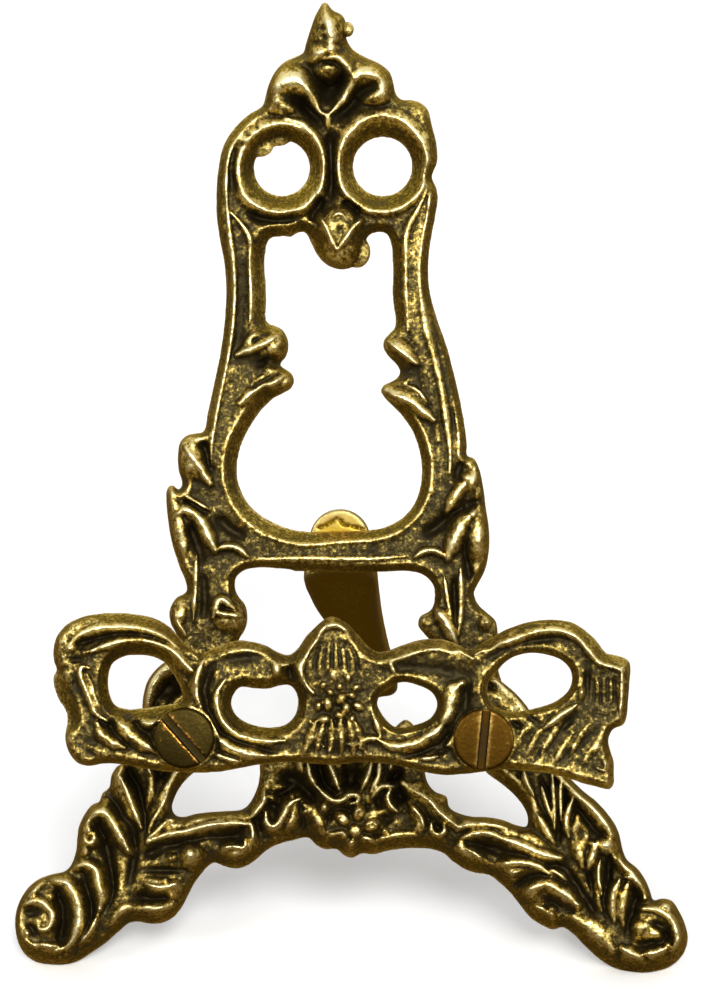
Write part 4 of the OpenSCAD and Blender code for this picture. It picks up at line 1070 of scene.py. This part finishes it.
LEDGE_OUTLINE = [
    (-0.2, 55.8), (-1.2, 55.5), (-2.6, 54.4), (-4, 53.1), (-5.4, 51.1), (-6.6, 50.2), (-8, 50.5),
    (-9.9, 51.5), (-11.8, 52.1), (-13.6, 52.3), (-15.6, 52), (-17.8, 51.1), (-19.8, 50.2), (-21.3, 51.2),
    (-22.7, 52.6), (-24.2, 54.2), (-26, 55.3), (-28.6, 56), (-32, 56.3), (-35.2, 56.1), (-37.9, 55.4),
    (-40, 54.2), (-41.2, 52.6), (-41.7, 50.6), (-41.6, 48.8), (-41.3, 47.7), (-41.8, 46.8), (-41.7, 45),
    (-41, 43.2), (-40.1, 41.8), (-39.7, 40.5), (-39.9, 39.2), (-39.8, 37), (-39.1, 35.1), (-38, 33.9),
    (-36.4, 33.4), (-34, 33.8), (-31.6, 33.7), (-28.6, 33.2), (-26, 32.8), (-23, 32.6), (-20, 32.5),
    (-16.6, 32.7), (-13.3, 33.3), (-10.2, 33.9), (-7, 34.2), (-3.4, 34), (0, 33.8), (4, 34.2), (8, 34),
    (11, 33.4), (13.4, 32.8), (16.3, 32.4), (19.6, 32.6), (22.4, 33), (25.2, 33.3), (28.2, 33.1),
    (31.3, 32.8), (34, 32.1), (36.2, 31.4), (38.6, 30.8), (40.4, 30.5), (41, 31.2), (41.1, 33),
    (41.1, 34.6), (40.6, 36.2), (40.3, 37.8), (40.9, 39.2), (42.4, 39.9), (42.9, 40.8), (43.1, 43),
    (43.3, 46), (43.4, 49.2), (42.8, 49.8), (41.4, 50.3), (39.9, 50.7), (38.6, 52.3), (37, 53.8), (35, 55),
    (32.3, 55.4), (29.3, 55.2), (26.4, 54.4), (24, 53.4), (21.8, 52), (20, 50.9), (18, 51.9), (15.6, 52.6),
    (12.4, 52.4), (9.8, 51.6), (8, 50.9), (6.4, 50.7), (5.2, 51.4), (4, 52.8), (2.4, 54.4), (1, 55.4)]

LOOP_LEFT = [
    (-33.2, 46.6), (-32.7, 48.5), (-31.2, 49.5), (-29.2, 49.8), (-27.1, 49.6), (-25.4, 48.9),
    (-24.2, 47.6), (-23.2, 45.9), (-22.6, 44.2), (-22.9, 43.2), (-24.4, 42.8), (-26.4, 42.5),
    (-28.6, 42.2), (-30.8, 42.1), (-32.3, 42.7), (-33.1, 44.4)]
LOOP_RIGHT = [
    (22.6, 44.8), (22.9, 46.4), (24, 47.6), (25.1, 48.9), (26.7, 49.9), (29, 50.4), (31.4, 50.1),
    (33.4, 49.3), (34.6, 47.9), (34.8, 46.3), (34.1, 44.8), (32.5, 43.5), (30.4, 42.7), (28.2, 42.2),
    (25.6, 42), (23.4, 43)]
EYE_LEFT = [
    (-15, 42.9), (-14.6, 44.3), (-13.8, 45.1), (-12, 45), (-9.9, 44.9), (-8, 45.3), (-6.6, 45.4),
    (-5.7, 44.5), (-5.4, 43.1), (-5.9, 41.2), (-7.2, 39.9), (-9.2, 39.5), (-11.3, 39.7), (-13.3, 40.4),
    (-14.6, 41.6)]
EYE_RIGHT = [
    (6.5, 42.9), (6.9, 44.2), (8, 44.9), (9.2, 45.8), (10.6, 46), (12.2, 45.6), (14, 44.8), (15, 43.4),
    (14.9, 42), (13.8, 40.7), (11.8, 39.9), (9.2, 39.6), (7.9, 40.5), (7, 41.7)]


def ledge_left(sheet):
    """The looped left end, the fallen leaves under it and the scroll round the left eye."""
    sheet.ridges([
        (1.3, 5, (-36.6, 47), (-36, 44), (-34.6, 41)),
        (1.5, 4.9, (-36.4, 36.4), (-33, 35.2), (-28, 34.6))], drop=1.4, shine=-0.02)
    sheet.hollows([
        (-36.2, 52.4, 2.4, 0.6, 1.6, 28), (-31.2, 53, 3.6, 0.6, 1.8, 2), (-25.4, 52.4, 3, 0.6, 1.8, -22),
        (-22, 50.6, 1.8, 0.5, 1.6, -42), (-23.8, 48.6, 2.4, 0.7, 1.8, -40),
        (-21.6, 46, 1.8, 0.8, 1.6, -74), (-32.5, 38.6, 1.8, 0.6, 2.2, -50),
        (-28.4, 38.5, 2.2, 0.7, 2.4, -50), (-30.4, 41.2, 1.2, 0.4, 1.2, 10),
        (-18.6, 46.6, 2.6, 0.7, 1.2, 72), (-18.4, 42.2, 2.4, 0.6, 1.6, -76), (-13.4, 49.6, 3.4, 0.9, 1, 8),
        (-16, 38.2, 2.4, 0.5, 1.8, -46), (-11.6, 36.2, 2.8, 0.45, 1.6, -8),
        (-13.4, 34.6, 2.6, 0.3, 0.9, -18), (-6.4, 47.4, 0.7, 1.6, 1.8, 0), (-41.6, 47.7, 1.8, 0.4, 1.2, 6),
        (-40.2, 40.1, 1.8, 0.4, 1.2, -8), (-38.6, 45, 0.8, 2, 0.6, 0), (-38.2, 49.2, 1.4, 0.5, 0.8, 0)])
    sheet.ridges([
        (0.7, 5.6, (-39.6, 51), (-37.6, 52.9), (-34.6, 53.9), (-31, 54.2), (-28, 53.9), (-25, 53.1),
            (-22.6, 51.6), (-20.2, 49.6)),
        (0.8, 5.8, (-36, 50.5), (-33.6, 51.3), (-30.8, 51.7), (-28.2, 51.6), (-25.6, 50.8), (-23.2, 49.5),
            (-21, 47.7)),
        (0.5, 5.5, (-36.2, 48), (-37.4, 48.1), (-37.6, 46.9), (-36.8, 45), (-36.1, 43), (-35.2, 41.2),
            (-33.6, 40.2)),
        (0.4, 5.2, (-36.5, 47), (-35.7, 44.8), (-35, 42.4)),
        (0.8, 5.9, (-35.1, 39.8), (-34.4, 38.2), (-33.2, 37.1), (-31, 36.2)),
        (0.9, 6, (-32, 40.5), (-31.1, 39.1), (-29.8, 37.8), (-28.2, 36.7), (-26.6, 35.9)),
        (0.6, 5.8, (-28.6, 40.6), (-27.3, 39.8), (-25.8, 40.1)),
        (0.5, 5.4, (-29.2, 41), (-26.2, 41.9), (-22.2, 42.3), (-19.6, 41.2), (-18, 39.4), (-17, 37.9)),
        (0.6, 5.6, (-20.8, 49.8), (-17.6, 50.8), (-15, 51.5), (-12.6, 51.5), (-10.4, 50.9), (-9, 49.8),
            (-8.3, 48.8)),
        (0.5, 5.4, (-19.2, 49.4), (-20.2, 46.8), (-20.4, 44.4), (-19.6, 42)),
        (0.6, 5.6, (-16, 46.4), (-17.2, 44.4), (-17.1, 42), (-16.2, 40), (-14.6, 38.5), (-12.4, 37.7),
            (-9.8, 37.3), (-7.2, 37.4)),
        (0.8, 5.8, (-17.6, 38.1), (-15.8, 36.6), (-13.2, 35.6), (-10, 35)),
        (0.5, 5.4, (-17.9, 35.5), (-16, 34.8), (-13.6, 34.1)),
        (0.6, 5.7, (-8.3, 49.6), (-8.4, 48.2), (-8.3, 46.4)),
        (0.5, 5.5, (-8.8, 49.2), (-7.4, 49), (-6.4, 49.6))], drop=1.4, shine=0.20)
    # Small domes with painted glints
    sheet.lumps([
        (-39, 50.9, 1.2, 0.7, 5.9, 20), (-37, 50.3, 0.5, 0.5, 5.9, 0), (-27, 39.9, 0.9, 0.7, 6, 0),
        (-27, 51.3, 1.6, 0.5, 6, -12), (-38.9, 39.5, 0.8, 0.3, 4.6, 0)], shine=0.42)


def ledge_right(sheet):
    """The scroll round the right eye, the right loop, its squared end and the brushed tail."""
    sheet.hollows([
        (19.4, 44, 0.7, 2.6, 1.4, 0), (17, 38.2, 2.2, 0.5, 1.8, 48), (13, 36, 2.4, 0.4, 1.5, 20),
        (15.6, 47.8, 3.4, 1, 0.8, -10), (15.9, 36, 1.2, 0.4, 1.2, 30), (10.6, 48.2, 1.6, 0.8, 0.8, 0),
        (37.2, 46.4, 0.5, 2, 1.2, 0), (30.6, 52.4, 4, 0.6, 0.7, 4), (24.6, 50.4, 2.4, 0.6, 0.8, 28),
        (28.6, 41.2, 1.4, 0.4, 1, -40), (27, 39.8, 1.2, 0.4, 1, -30), (34, 40, 1.6, 0.5, 1, 40),
        (35.4, 36.4, 3.4, 0.4, 0.6, 40), (31, 36.4, 2.4, 0.35, 0.6, 44)])
    sheet.ridges([
        (0.6, 5.6, (6, 49.6), (8, 49.7), (10.4, 50.3), (13, 51.2), (15.6, 51.7), (17.6, 51.2),
            (20.4, 49.6)),
        (0.6, 5.6, (20.8, 50.2), (23.6, 51.6), (26.2, 52.4), (28.8, 53.4), (31.4, 53.9), (34, 53.6),
            (36.2, 52.5), (37.6, 50.7), (39, 49.1), (40.8, 48.5), (42.1, 47.9)),
        (0.4, 5.3, (42.2, 48.4), (42.2, 45), (41.9, 41)),
        (0.5, 5.4, (6.9, 44.8), (6.2, 42.6), (6.3, 40.2), (6.9, 38)),
        (0.5, 5.4, (3.2, 36.7), (4.8, 37.7), (6.8, 37.8)),
        (0.7, 5.6, (6.6, 37.6), (8.2, 36.8), (10.4, 36.7), (12.6, 37.4), (14.8, 38.7), (16.4, 40.4)),
        (0.9, 5.9, (15.8, 39.6), (16.8, 41.6), (17.2, 43.4), (17.6, 45), (18.9, 46)),
        (0.4, 5.2, (8.2, 49.4), (8.5, 48.4), (9, 47.4)),
        (0.4, 5.2, (12.6, 34.9), (14, 34.9), (15.4, 35.3)),
        (0.5, 5.3, (16.6, 36.8), (17.8, 37.4), (18.2, 38.2)),
        (0.5, 5.5, (30.8, 39.4), (32.6, 40.8), (34.4, 42.1), (35.6, 42.9))], drop=1.2, shine=0.14)
    # Small domes with painted glints
    sheet.lumps([
        (36.3, 44.6, 0.6, 1.2, 5.9, 0), (17.4, 44.6, 0.7, 1.2, 6, -20), (17, 41.8, 0.6, 1, 5.9, 0),
        (39.8, 34.2, 1.4, 0.5, 5.4, 110), (39.2, 33.4, 1.2, 0.3, 5.2, -20)], shine=0.4)
    # Brushed strokes down the tail
    for u, v in ((27.4, 38), (29.4, 37.6), (31.8, 38), (33.6, 36.6), (36, 38), (37.6, 36), (39, 37.6)):
        sheet.ridge([(u + 1.5, v + 2.2), (u, v + 0.2), (u - 1.3, v - 2.4)], 0.5, 4.6, 0.7, shine=0)
    for i in range(4):
        sheet.groove([(38 + i, 47.4), (38.1 + i, 45), (38 + i, 42.6)], 0.22, 0.5, dirt=0.2)


def ledge_middle(sheet):
    """The fluted shell, the flower of small lumps and the strands below it."""
    sheet.lump((0.2, 49.4), (5.4, 6.2), 5.3, 1.4, soft=0.6, shine=-0.10)
    sheet.ridge([(-3, 44.4), (-4.4, 46), (-4.9, 47.8), (-4.5, 49.8), (-3.2, 52), (-1.4, 54.1), (0.4, 54.5),
            (2.2, 53.5), (3.8, 52), (5, 50.6), (6.4, 49.6)], 0.6, 6, 1.6, shine=0.26)
    for i in range(6):
        u = -2.8 + 1.25 * i
        sheet.groove([(u * 0.5, 53 - 0.15 * abs(u)), (u * 0.9, 50.2), (u * 1.05, 47)], 0.34, 0.55,
                dirt=0.16)
    for ring, count, radius in ((0, 1, 0), (1, 6, 1.6), (2, 9, 3.2)):
        for i in range(count):
            a = 2 * math.pi * (i + 0.35 * ring) / count
            spot = (0.8 + radius * math.cos(a) + sheet.rng.uniform(-0.4, 0.4),
                    43.4 + 1.15 * radius * math.sin(a) + sheet.rng.uniform(-0.4, 0.4))
            size = sheet.rng.uniform(0.8, 1.3)
            sheet.lump(spot, (size, size * 0.7), 6.2 - 0.3 * ring, 1.8, sheet.rng.uniform(0, 180), 0.25,
                    shine=sheet.rng.uniform(-0.05, 0.36))
    for i in range(6):
        u = -3.4 + 1.45 * i
        lean = 0.20 * (u - 0.4)
        bow = sheet.rng.uniform(-0.7, 0.7)
        sheet.ridge([(u - lean, 40.2 + bow), (u + bow / 2, 38), (u + 1.4 * lean, 35.4 - bow)],
                [0.6, 0.75, 0.5], [5.5, 5.3, 4.8], 1.3, soft=0.4, shine=sheet.rng.uniform(-0.16, 0.08))
        for _ in range(3):
            spot = (u + sheet.rng.uniform(-0.6, 0.6), sheet.rng.uniform(35, 40.5))
            sheet.lump(spot, (0.45, 0.35), 5.6, shine=0.26)


def ledge_sheet():
    sheet = Sheet((-43, 44.5), (29.5, 57), 0.22, LEDGE_W, seed=13)
    left_end = ease((-34 - sheet.U) / 6) * ease((sheet.V - 37) / 3)
    sheet.wall(LEDGE_OUTLINE, 0.22 + 0.50 * left_end * ease((53 - sheet.V) / 4), toward=(0, 1), extra=0.14)
    for points, draft in ((LOOP_LEFT, 0.40), (LOOP_RIGHT, 0.24), (EYE_LEFT, 0.36), (EYE_RIGHT, 0.24)):
        sheet.wall(points, draft, hole=True)
    sheet.top += 4.1
    # The ground is darker except at the left end, and a little darker again to the right.
    sheet.stain_and_highlight -= 0.18 * (1 - left_end) + 0.03 * ease((sheet.U - 4) / 6)
    sheet.rim(4.1, 0.3, 0.6, ease((np.hypot(sheet.U - 0.4, sheet.V - 44) - 5) / 3), shine=0.02)
    sheet.plump([
        (-39.6, 50, 5), (-37, 54, 4), (-39, 36, 4), (-19.8, 50, 2.6), (0, 54.6, 4), (20, 50.6, 3),
        (30, 54.6, 8), (42, 45, 4)])
    ledge_left(sheet)
    ledge_right(sheet)
    ledge_middle(sheet)
    sheet.age(0.04)
    # Flats for the screw heads
    flat_v, flat_r, flat_w = 37.6, 5.2, 4.7
    for u in (-SCREW_U, SCREW_U):
        gap = np.hypot(sheet.U - u, sheet.V - flat_v)
        sheet.top += (flat_w - sheet.top) * ease((flat_r - gap) / 0.7)
    return sheet


def build_ledge(material):
    sheet = ledge_sheet()
    field = sheet.volume(-0.52, 6.7, rise=0.26, rounding=0.35)
    return mesh_sheet("ledge_casting", sheet, field, material, lift=LEDGE_BACK)


# ---- Hardware and the strut: solids from distance functions ----

def grid(low, high, step):
    axes = [np.arange(a, b, step, dtype=np.float32) for a, b in zip(low, high)]
    return np.meshgrid(*axes, indexing="ij")


def grid_round(centre, reach, low_w, high_w, step):
    """A grid round a screw's axis: its low corner, and each point's u and v from the axis and w."""
    low = (centre[0] - reach, centre[1] - reach, low_w)
    u, v, w = grid(low, (centre[0] + reach, centre[1] + reach, high_w), step)
    return low, u - centre[0], v - centre[1], w


def build_screw(name, centre, slot_angle, dome, material):
    """A slotted screw through the ledge, with a head domed by dome and a thread at its end."""
    head_r, head_t, tail_w, step = 4.45, 2, -4.2, 0.13
    slot_half, slot_depth = 0.62, 1.1
    pitch, thread_depth, thread_top = 0.8, 0.22, 6
    head_top = LEDGE_W + head_t
    low, du, dv, w = grid_round(centre, 5.2, tail_w - 0.5, head_top + 0.6, step)
    r = np.hypot(du, dv)
    face = head_top - dome * (r / head_r) ** 2
    head = smooth_min(smooth_min(head_r - r, face - w, 0.5), w - LEDGE_W, 0.1)
    turn = np.arctan2(dv, du) / (2 * math.pi)
    thread = thread_depth * np.abs(2 * ((w / pitch + turn) % 1) - 1) * ease(thread_top - w)
    shank = smooth_min(smooth_min(SCREW_R - thread - r, w - tail_w, 0.3), LEDGE_W + 0.5 - w, 0.1)
    a = math.radians(slot_angle)
    across = np.abs(dv * math.cos(a) - du * math.sin(a))
    slot = smooth_min(slot_half - across, w - (head_top - slot_depth), 0.1)
    field = smooth_min(np.maximum(head, shank), -slot, 0.05).astype(np.float32)

    def dull_rim(verts, _):
        return -0.22 * ease((np.hypot(verts[:, 0] - centre[0], verts[:, 1] - centre[1]) - 3.5) / 0.5)

    return mesh_field(name, field, low, (step,) * 3, place, material, 0.3, 0.9, dull_rim)


def build_nut(name, centre, material):
    """A chamfered hexagon nut behind the castings."""
    thick, flats, hole, step = 3.5, 7.96, 2.5, 0.14
    low, du, dv, w = grid_round(centre, 5, -thick - 0.4, 0.5, step)
    r = np.hypot(du, dv)
    hexagon = np.minimum.reduce([flats / 2 - np.abs(du * math.cos(a) + dv * math.sin(a))
                                 for a in np.radians([90, 150, 210])])
    faces = np.minimum(w + thick, -w)
    chamfer = (flats / 2 + 0.15 - r) + 1.6 * faces
    field = smooth_min(smooth_min(hexagon, chamfer / 1.6, 0.15), faces, 0.15)
    field = smooth_min(field, r - hole, 0.2).astype(np.float32)
    return mesh_field(name, field, low, (step,) * 3, place, material, 0.3, 0.9)


def build_spacer(name, centre, material):
    """A tube between the base and the ledge, with fine turning marks."""
    radius, hole, step = 4.2, 2.6, 0.2
    mark_depth, mark_pitch = 0.03, 0.7
    low, du, dv, w = grid_round(centre, 5, BASE_FACE - 0.6, LEDGE_BACK + 0.6, step)
    r = np.hypot(du, dv)
    ends = np.minimum(w - BASE_FACE, LEDGE_BACK - w)
    turned = mark_depth * np.sin(w * 2 * math.pi / mark_pitch)
    field = smooth_min(smooth_min(radius + turned - r, ends, 0.4), r - hole, 0.3).astype(np.float32)
    return mesh_field(name, field, low, (step,) * 3, place, material, 0.35, 1)


# In the strut's own plane: x across, and s up to the pin at 0
STRUT_OUTLINE = [
    (-5.9, -4.2), (-6.7, -5.4), (-6.7, -8.4), (-6.2, -11.2), (-5.4, -15), (-3.9, -19.6), (-2.2, -24),
    (-0.8, -29), (0.2, -34), (0.2, -39), (-0.6, -44), (-1.4, -50), (-2.1, -56), (-3, -61), (-3.4, -65),
    (-3.4, -70), (4.2, -70), (4.1, -65), (3.6, -61), (2.8, -55), (2.6, -49.5), (2.9, -45.6), (4.2, -44.1),
    (6.2, -43.4), (7.2, -42), (7.2, -39), (6.6, -34), (6, -28), (5.4, -20), (5.1, -12), (5, -7),
    (4.9, -4.8), (4.2, -4)]

# A casting crack across the tab: x across, and v above the pin
CRACK = [(-3.8, 4), (-2.4, 4.4), (-1, 5.4), (-0.4, 5.2), (0, 4.5), (1.6, 4.2), (3.4, 3.7)]


def gap_to(a, b, x, y):
    """Distance from each (x, y) to the straight line from a to b."""
    length = math.hypot(b[0] - a[0], b[1] - a[1])
    du, dv = (b[0] - a[0]) / length, (b[1] - a[1]) / length
    along = np.clip((x - a[0]) * du + (y - a[1]) * dv, 0, length)
    return np.hypot(x - a[0] - along * du, y - a[1] - along * dv)


def build_strut(material):
    """The strut in its own plane at rest: x across, s up to the pin, n to its front."""
    thick, knuckle_r, knuckle_half, bore_r, step = 3, 2.6, 5, 1.3, 0.28
    neck_half, neck_s = 4.5, -6
    tab_r, tab_t, tab_x, tab_v, stop_gap = 4.7, 3.4, -0.5, 66.7, 0.15
    crack_half, crack_depth = 0.16, 0.4
    joint = np.array(frame["joints"][0]["pos_m"]) / MM
    foot = (np.array(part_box("rear_strut")[1])[1] / MM - joint[1]) - 1
    tilt = math.atan2(foot, joint[2])
    down = np.array([0, math.sin(tilt), -math.cos(tilt)])
    front = np.array([0, -math.cos(tilt), -math.sin(tilt)])
    low, high = (-8, -68, -6), (8.4, 9.5, 6.5)
    x, s, n = grid(low, high, step)
    sheet = Sheet((low[0], high[0]), (low[1], high[1]), step, FACE_W, seed=14)
    outline = sheet.inside(curve(STRUT_OUTLINE, closed=True), reach=4)[:x.shape[0], :x.shape[1]]
    slab = smooth_min(outline[:, :, None], thick / 2 - np.abs(n), 0.7)
    neck = smooth_min(neck_half - np.abs(x), np.minimum(s - neck_s, 0.6 - s), 0.3)
    neck = smooth_min(neck, thick / 2 - np.abs(n), 0.5)
    knuckle = smooth_min(knuckle_r - np.hypot(s, n), knuckle_half - np.abs(x), 0.3)
    # The tab lies along the castings' back, turned from the strut by the opening angle
    open_angle = LEAN + tilt
    up_v = s * math.cos(open_angle) - n * math.sin(open_angle)
    out_w = n * math.cos(open_angle) + s * math.sin(open_angle)
    stop_w = -HINGE_W - stop_gap
    disc = tab_r - np.hypot(x - tab_x, up_v - (tab_v - HINGE_V))
    sides = np.minimum(out_w - (stop_w - tab_t), stop_w - out_w)
    tab = smooth_min(smooth_min(disc, sides, 0.5), up_v - 0.2, 0.2)
    crack = np.minimum.reduce([gap_to(a, b, x, up_v) for a, b in zip(CRACK[:-1], CRACK[1:])])
    tab = smooth_min(tab, np.maximum(crack - crack_half, stop_w - crack_depth - out_w), 0.1)
    field = smooth_max(smooth_max(slab, neck, 0.5), smooth_max(knuckle, tab, 0.6), 0.6)
    field = smooth_min(field, np.hypot(s, n) - bore_r, 0.15)
    height = joint[2] + s * math.cos(tilt) - n * math.sin(tilt)
    field = smooth_min(field, height, 0.2).astype(np.float32)

    def to_world(p):
        return (joint + np.outer(p[:, 0], ACROSS) - np.outer(p[:, 1], down)
                + np.outer(p[:, 2], front)) * MM

    return mesh_field("strut_casting", field, low, (step,) * 3, to_world, material)


def build_pin(material):
    """The wire pin, with a head on its left and a peened end on its right."""
    reach, head_r, peen_r, margin, step = 7.6, 2.1, 1.8, 2.6, 0.16
    low = (-reach - 1.4, HINGE_V - margin, HINGE_W - margin)
    u, v, w = grid(low, (reach + 1.4, HINGE_V + margin, HINGE_W + margin), step)
    r = np.hypot(v - HINGE_V, w - HINGE_W)
    shaft = smooth_min(PIN_R - r, reach + 0.7 - np.abs(u), 0.2)
    head = smooth_min(head_r - r, np.minimum(u + reach + 1, -reach - u), 0.5)
    peen = smooth_min(peen_r - r, np.minimum(reach + 0.8 - u, u - reach), 0.5)
    field = np.maximum(np.maximum(shaft, head), peen).astype(np.float32)
    return mesh_field("hinge_pin_wire", field, low, (step,) * 3, place, material, 0.3, 0.9)


# ---- Stage ----

def add_light(name, data, spot, direction):
    """Adds a light that points along a direction."""
    obj = bpy.data.objects.new(name, data)
    obj.location = spot
    obj.rotation_euler = Vector(direction).to_track_quat("-Z", "Y").to_euler()
    bpy.context.scene.collection.objects.link(obj)


def set_lights():
    sun = bpy.data.lights.new("key", "SUN")
    sun.energy = 1.7
    sun.angle = math.radians(24)
    add_light("key", sun, (0, 0, 0), (-0.22, 0.62, -0.75))
    target = Vector((np.array(cad_low) + np.array(cad_high)) / 2)
    for name, spot, size, power in (("left", (-0.45, -0.45, 0.55), (0.25, 0.25), 1.6),
                                    ("fill", (0.60, -0.35, 0.30), (0.15, 0.50), 0.8),
                                    ("front", (0.05, -0.75, 0.45), (0.50, 0.35), 1.2)):
        light = bpy.data.lights.new(name, "AREA")
        light.shape = "RECTANGLE"
        light.size, light.size_y = size
        light.energy = power
        add_light(name, light, spot, target - Vector(spot))


def grey(value):
    return (value,) * 3


def set_world():
    """A white background and an even light on the floor; the brass mirrors a dimmer, shaded room."""
    world = bpy.data.worlds.new("studio")
    world.use_nodes = True
    nodes, links = world.node_tree.nodes, world.node_tree.links
    rays = nodes.new("ShaderNodeLightPath").outputs
    height = nodes.new("ShaderNodeSeparateXYZ")
    links.new(nodes.new("ShaderNodeTexCoord").outputs["Generated"], height.inputs["Vector"])
    up = maths(nodes, links, "MULTIPLY_ADD", height.outputs["Z"], 0.5, 0.5)
    room = ramp(nodes, links, up, [(0, (0.05, 0.045, 0.04)), (0.46, (0.12, 0.115, 0.11)),
                                   (0.60, (0.85, 0.84, 0.80)), (1, (1, 0.98, 0.94))])
    sky = ramp(nodes, links, rays["Is Camera Ray"], [(0, grey(0.72)), (1, grey(1))])
    colour = choose(nodes, links, rays["Is Glossy Ray"], sky, room)
    links.new(colour, nodes["Background"].inputs["Color"])
    bpy.context.scene.world = world
    bpy.context.scene.view_settings.view_transform = "Standard"


def set_floor():
    """White to the eye; seen in the brass it is a shaded floor."""
    material, nodes, links, shader = new_material("pale_floor")
    where = nodes.new("ShaderNodeTexCoord").outputs["Object"]
    pale = ramp(nodes, links, noise(nodes, links, where, 6, 2, 0.5), [(0.3, grey(0.88)), (0.7, grey(0.91))])
    mirrored = nodes.new("ShaderNodeLightPath").outputs["Is Glossy Ray"]
    colour = choose(nodes, links, mirrored, pale, (0.16, 0.12, 0.07))
    links.new(colour, shader.inputs["Base Color"])
    shader.inputs["Roughness"].default_value = 1
    shader.inputs["Specular IOR Level"].default_value = 0
    corners = np.array([(-4, -4, 0), (4, -4, 0), (4, 4, 0), (-4, 4, 0)], float)
    new_object("floor", corners, np.array([(0, 1, 2, 3)]), material, {})


def set_camera():
    """Looks at the castings' middle from the point that they taper toward."""
    view_height = 155 * MM       # what the picture shows at the castings' faces
    target = place([(2.4, APEX[1], FACE_W)])[0]
    eye = place([APEX])[0]
    data = bpy.data.cameras.new("camera")
    camera = bpy.data.objects.new("camera", data)
    data.sensor_fit = "VERTICAL"
    data.sensor_height = 36
    data.lens = data.sensor_height * np.linalg.norm(eye - target) / view_height
    ahead = (target - eye) / np.linalg.norm(target - eye)
    right = np.cross(ahead, UP)
    right /= np.linalg.norm(right)
    turn = Matrix(np.column_stack([right, np.cross(right, ahead), -ahead]).tolist())
    camera.matrix_world = Matrix.Translation(eye.tolist()) @ turn.to_4x4()
    bpy.context.scene.collection.objects.link(camera)
    bpy.context.scene.camera = camera


def on_plane(low, high):
    """The middle of a box, in metres, as a place (u, v) on the castings' plane."""
    middle = (low + high) / 2 / MM - ORIGIN
    return middle @ ACROSS, middle @ UP


left, right = on_plane(left_low, left_high), on_plane(right_low, right_high)
cast = cast_brass("antique_cast_brass")
strut_brass = cast_brass("strut_brass", STRUT, speckle=0.3)
turned = cast_brass("turned_brass", TURNED, wear=0.06, speckle=0.3)
tarnished = cast_brass("tarnished_brass", TARNISHED, speckle=0.5)

# Each piece, the CAD node that it replaces and its material slot
pieces = [(build_upright(cast), "upright_frame", "antique_brass"),
          (build_base(cast), "leg_base", "antique_brass"),
          (build_ledge(cast), "front_ledge", "antique_brass")]
for side, centre, slot_angle, dome, brass in (("left", left, -48, 0.35, tarnished),
                                              ("right", right, 84.5, 0.12, turned)):
    screw = build_screw("slotted_screw_" + side, centre, slot_angle, dome, brass)
    pieces += [(build_spacer("spacer_tube_" + side, centre, turned), "spacer_" + side, "turned_brass"),
               (screw, "screw_" + side, "turned_brass"),
               (build_nut("hex_nut_" + side, centre, turned), "nut_" + side, "turned_brass")]
pieces += [(build_strut(strut_brass), "rear_strut", "strut_brass"),
           (build_pin(turned), "hinge_pin", "turned_brass")]
for piece, node, slot in pieces:
    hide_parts(node)
    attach(piece, "strut" if node == "rear_strut" else "stand")

set_world()
set_floor()
set_lights()
set_camera()
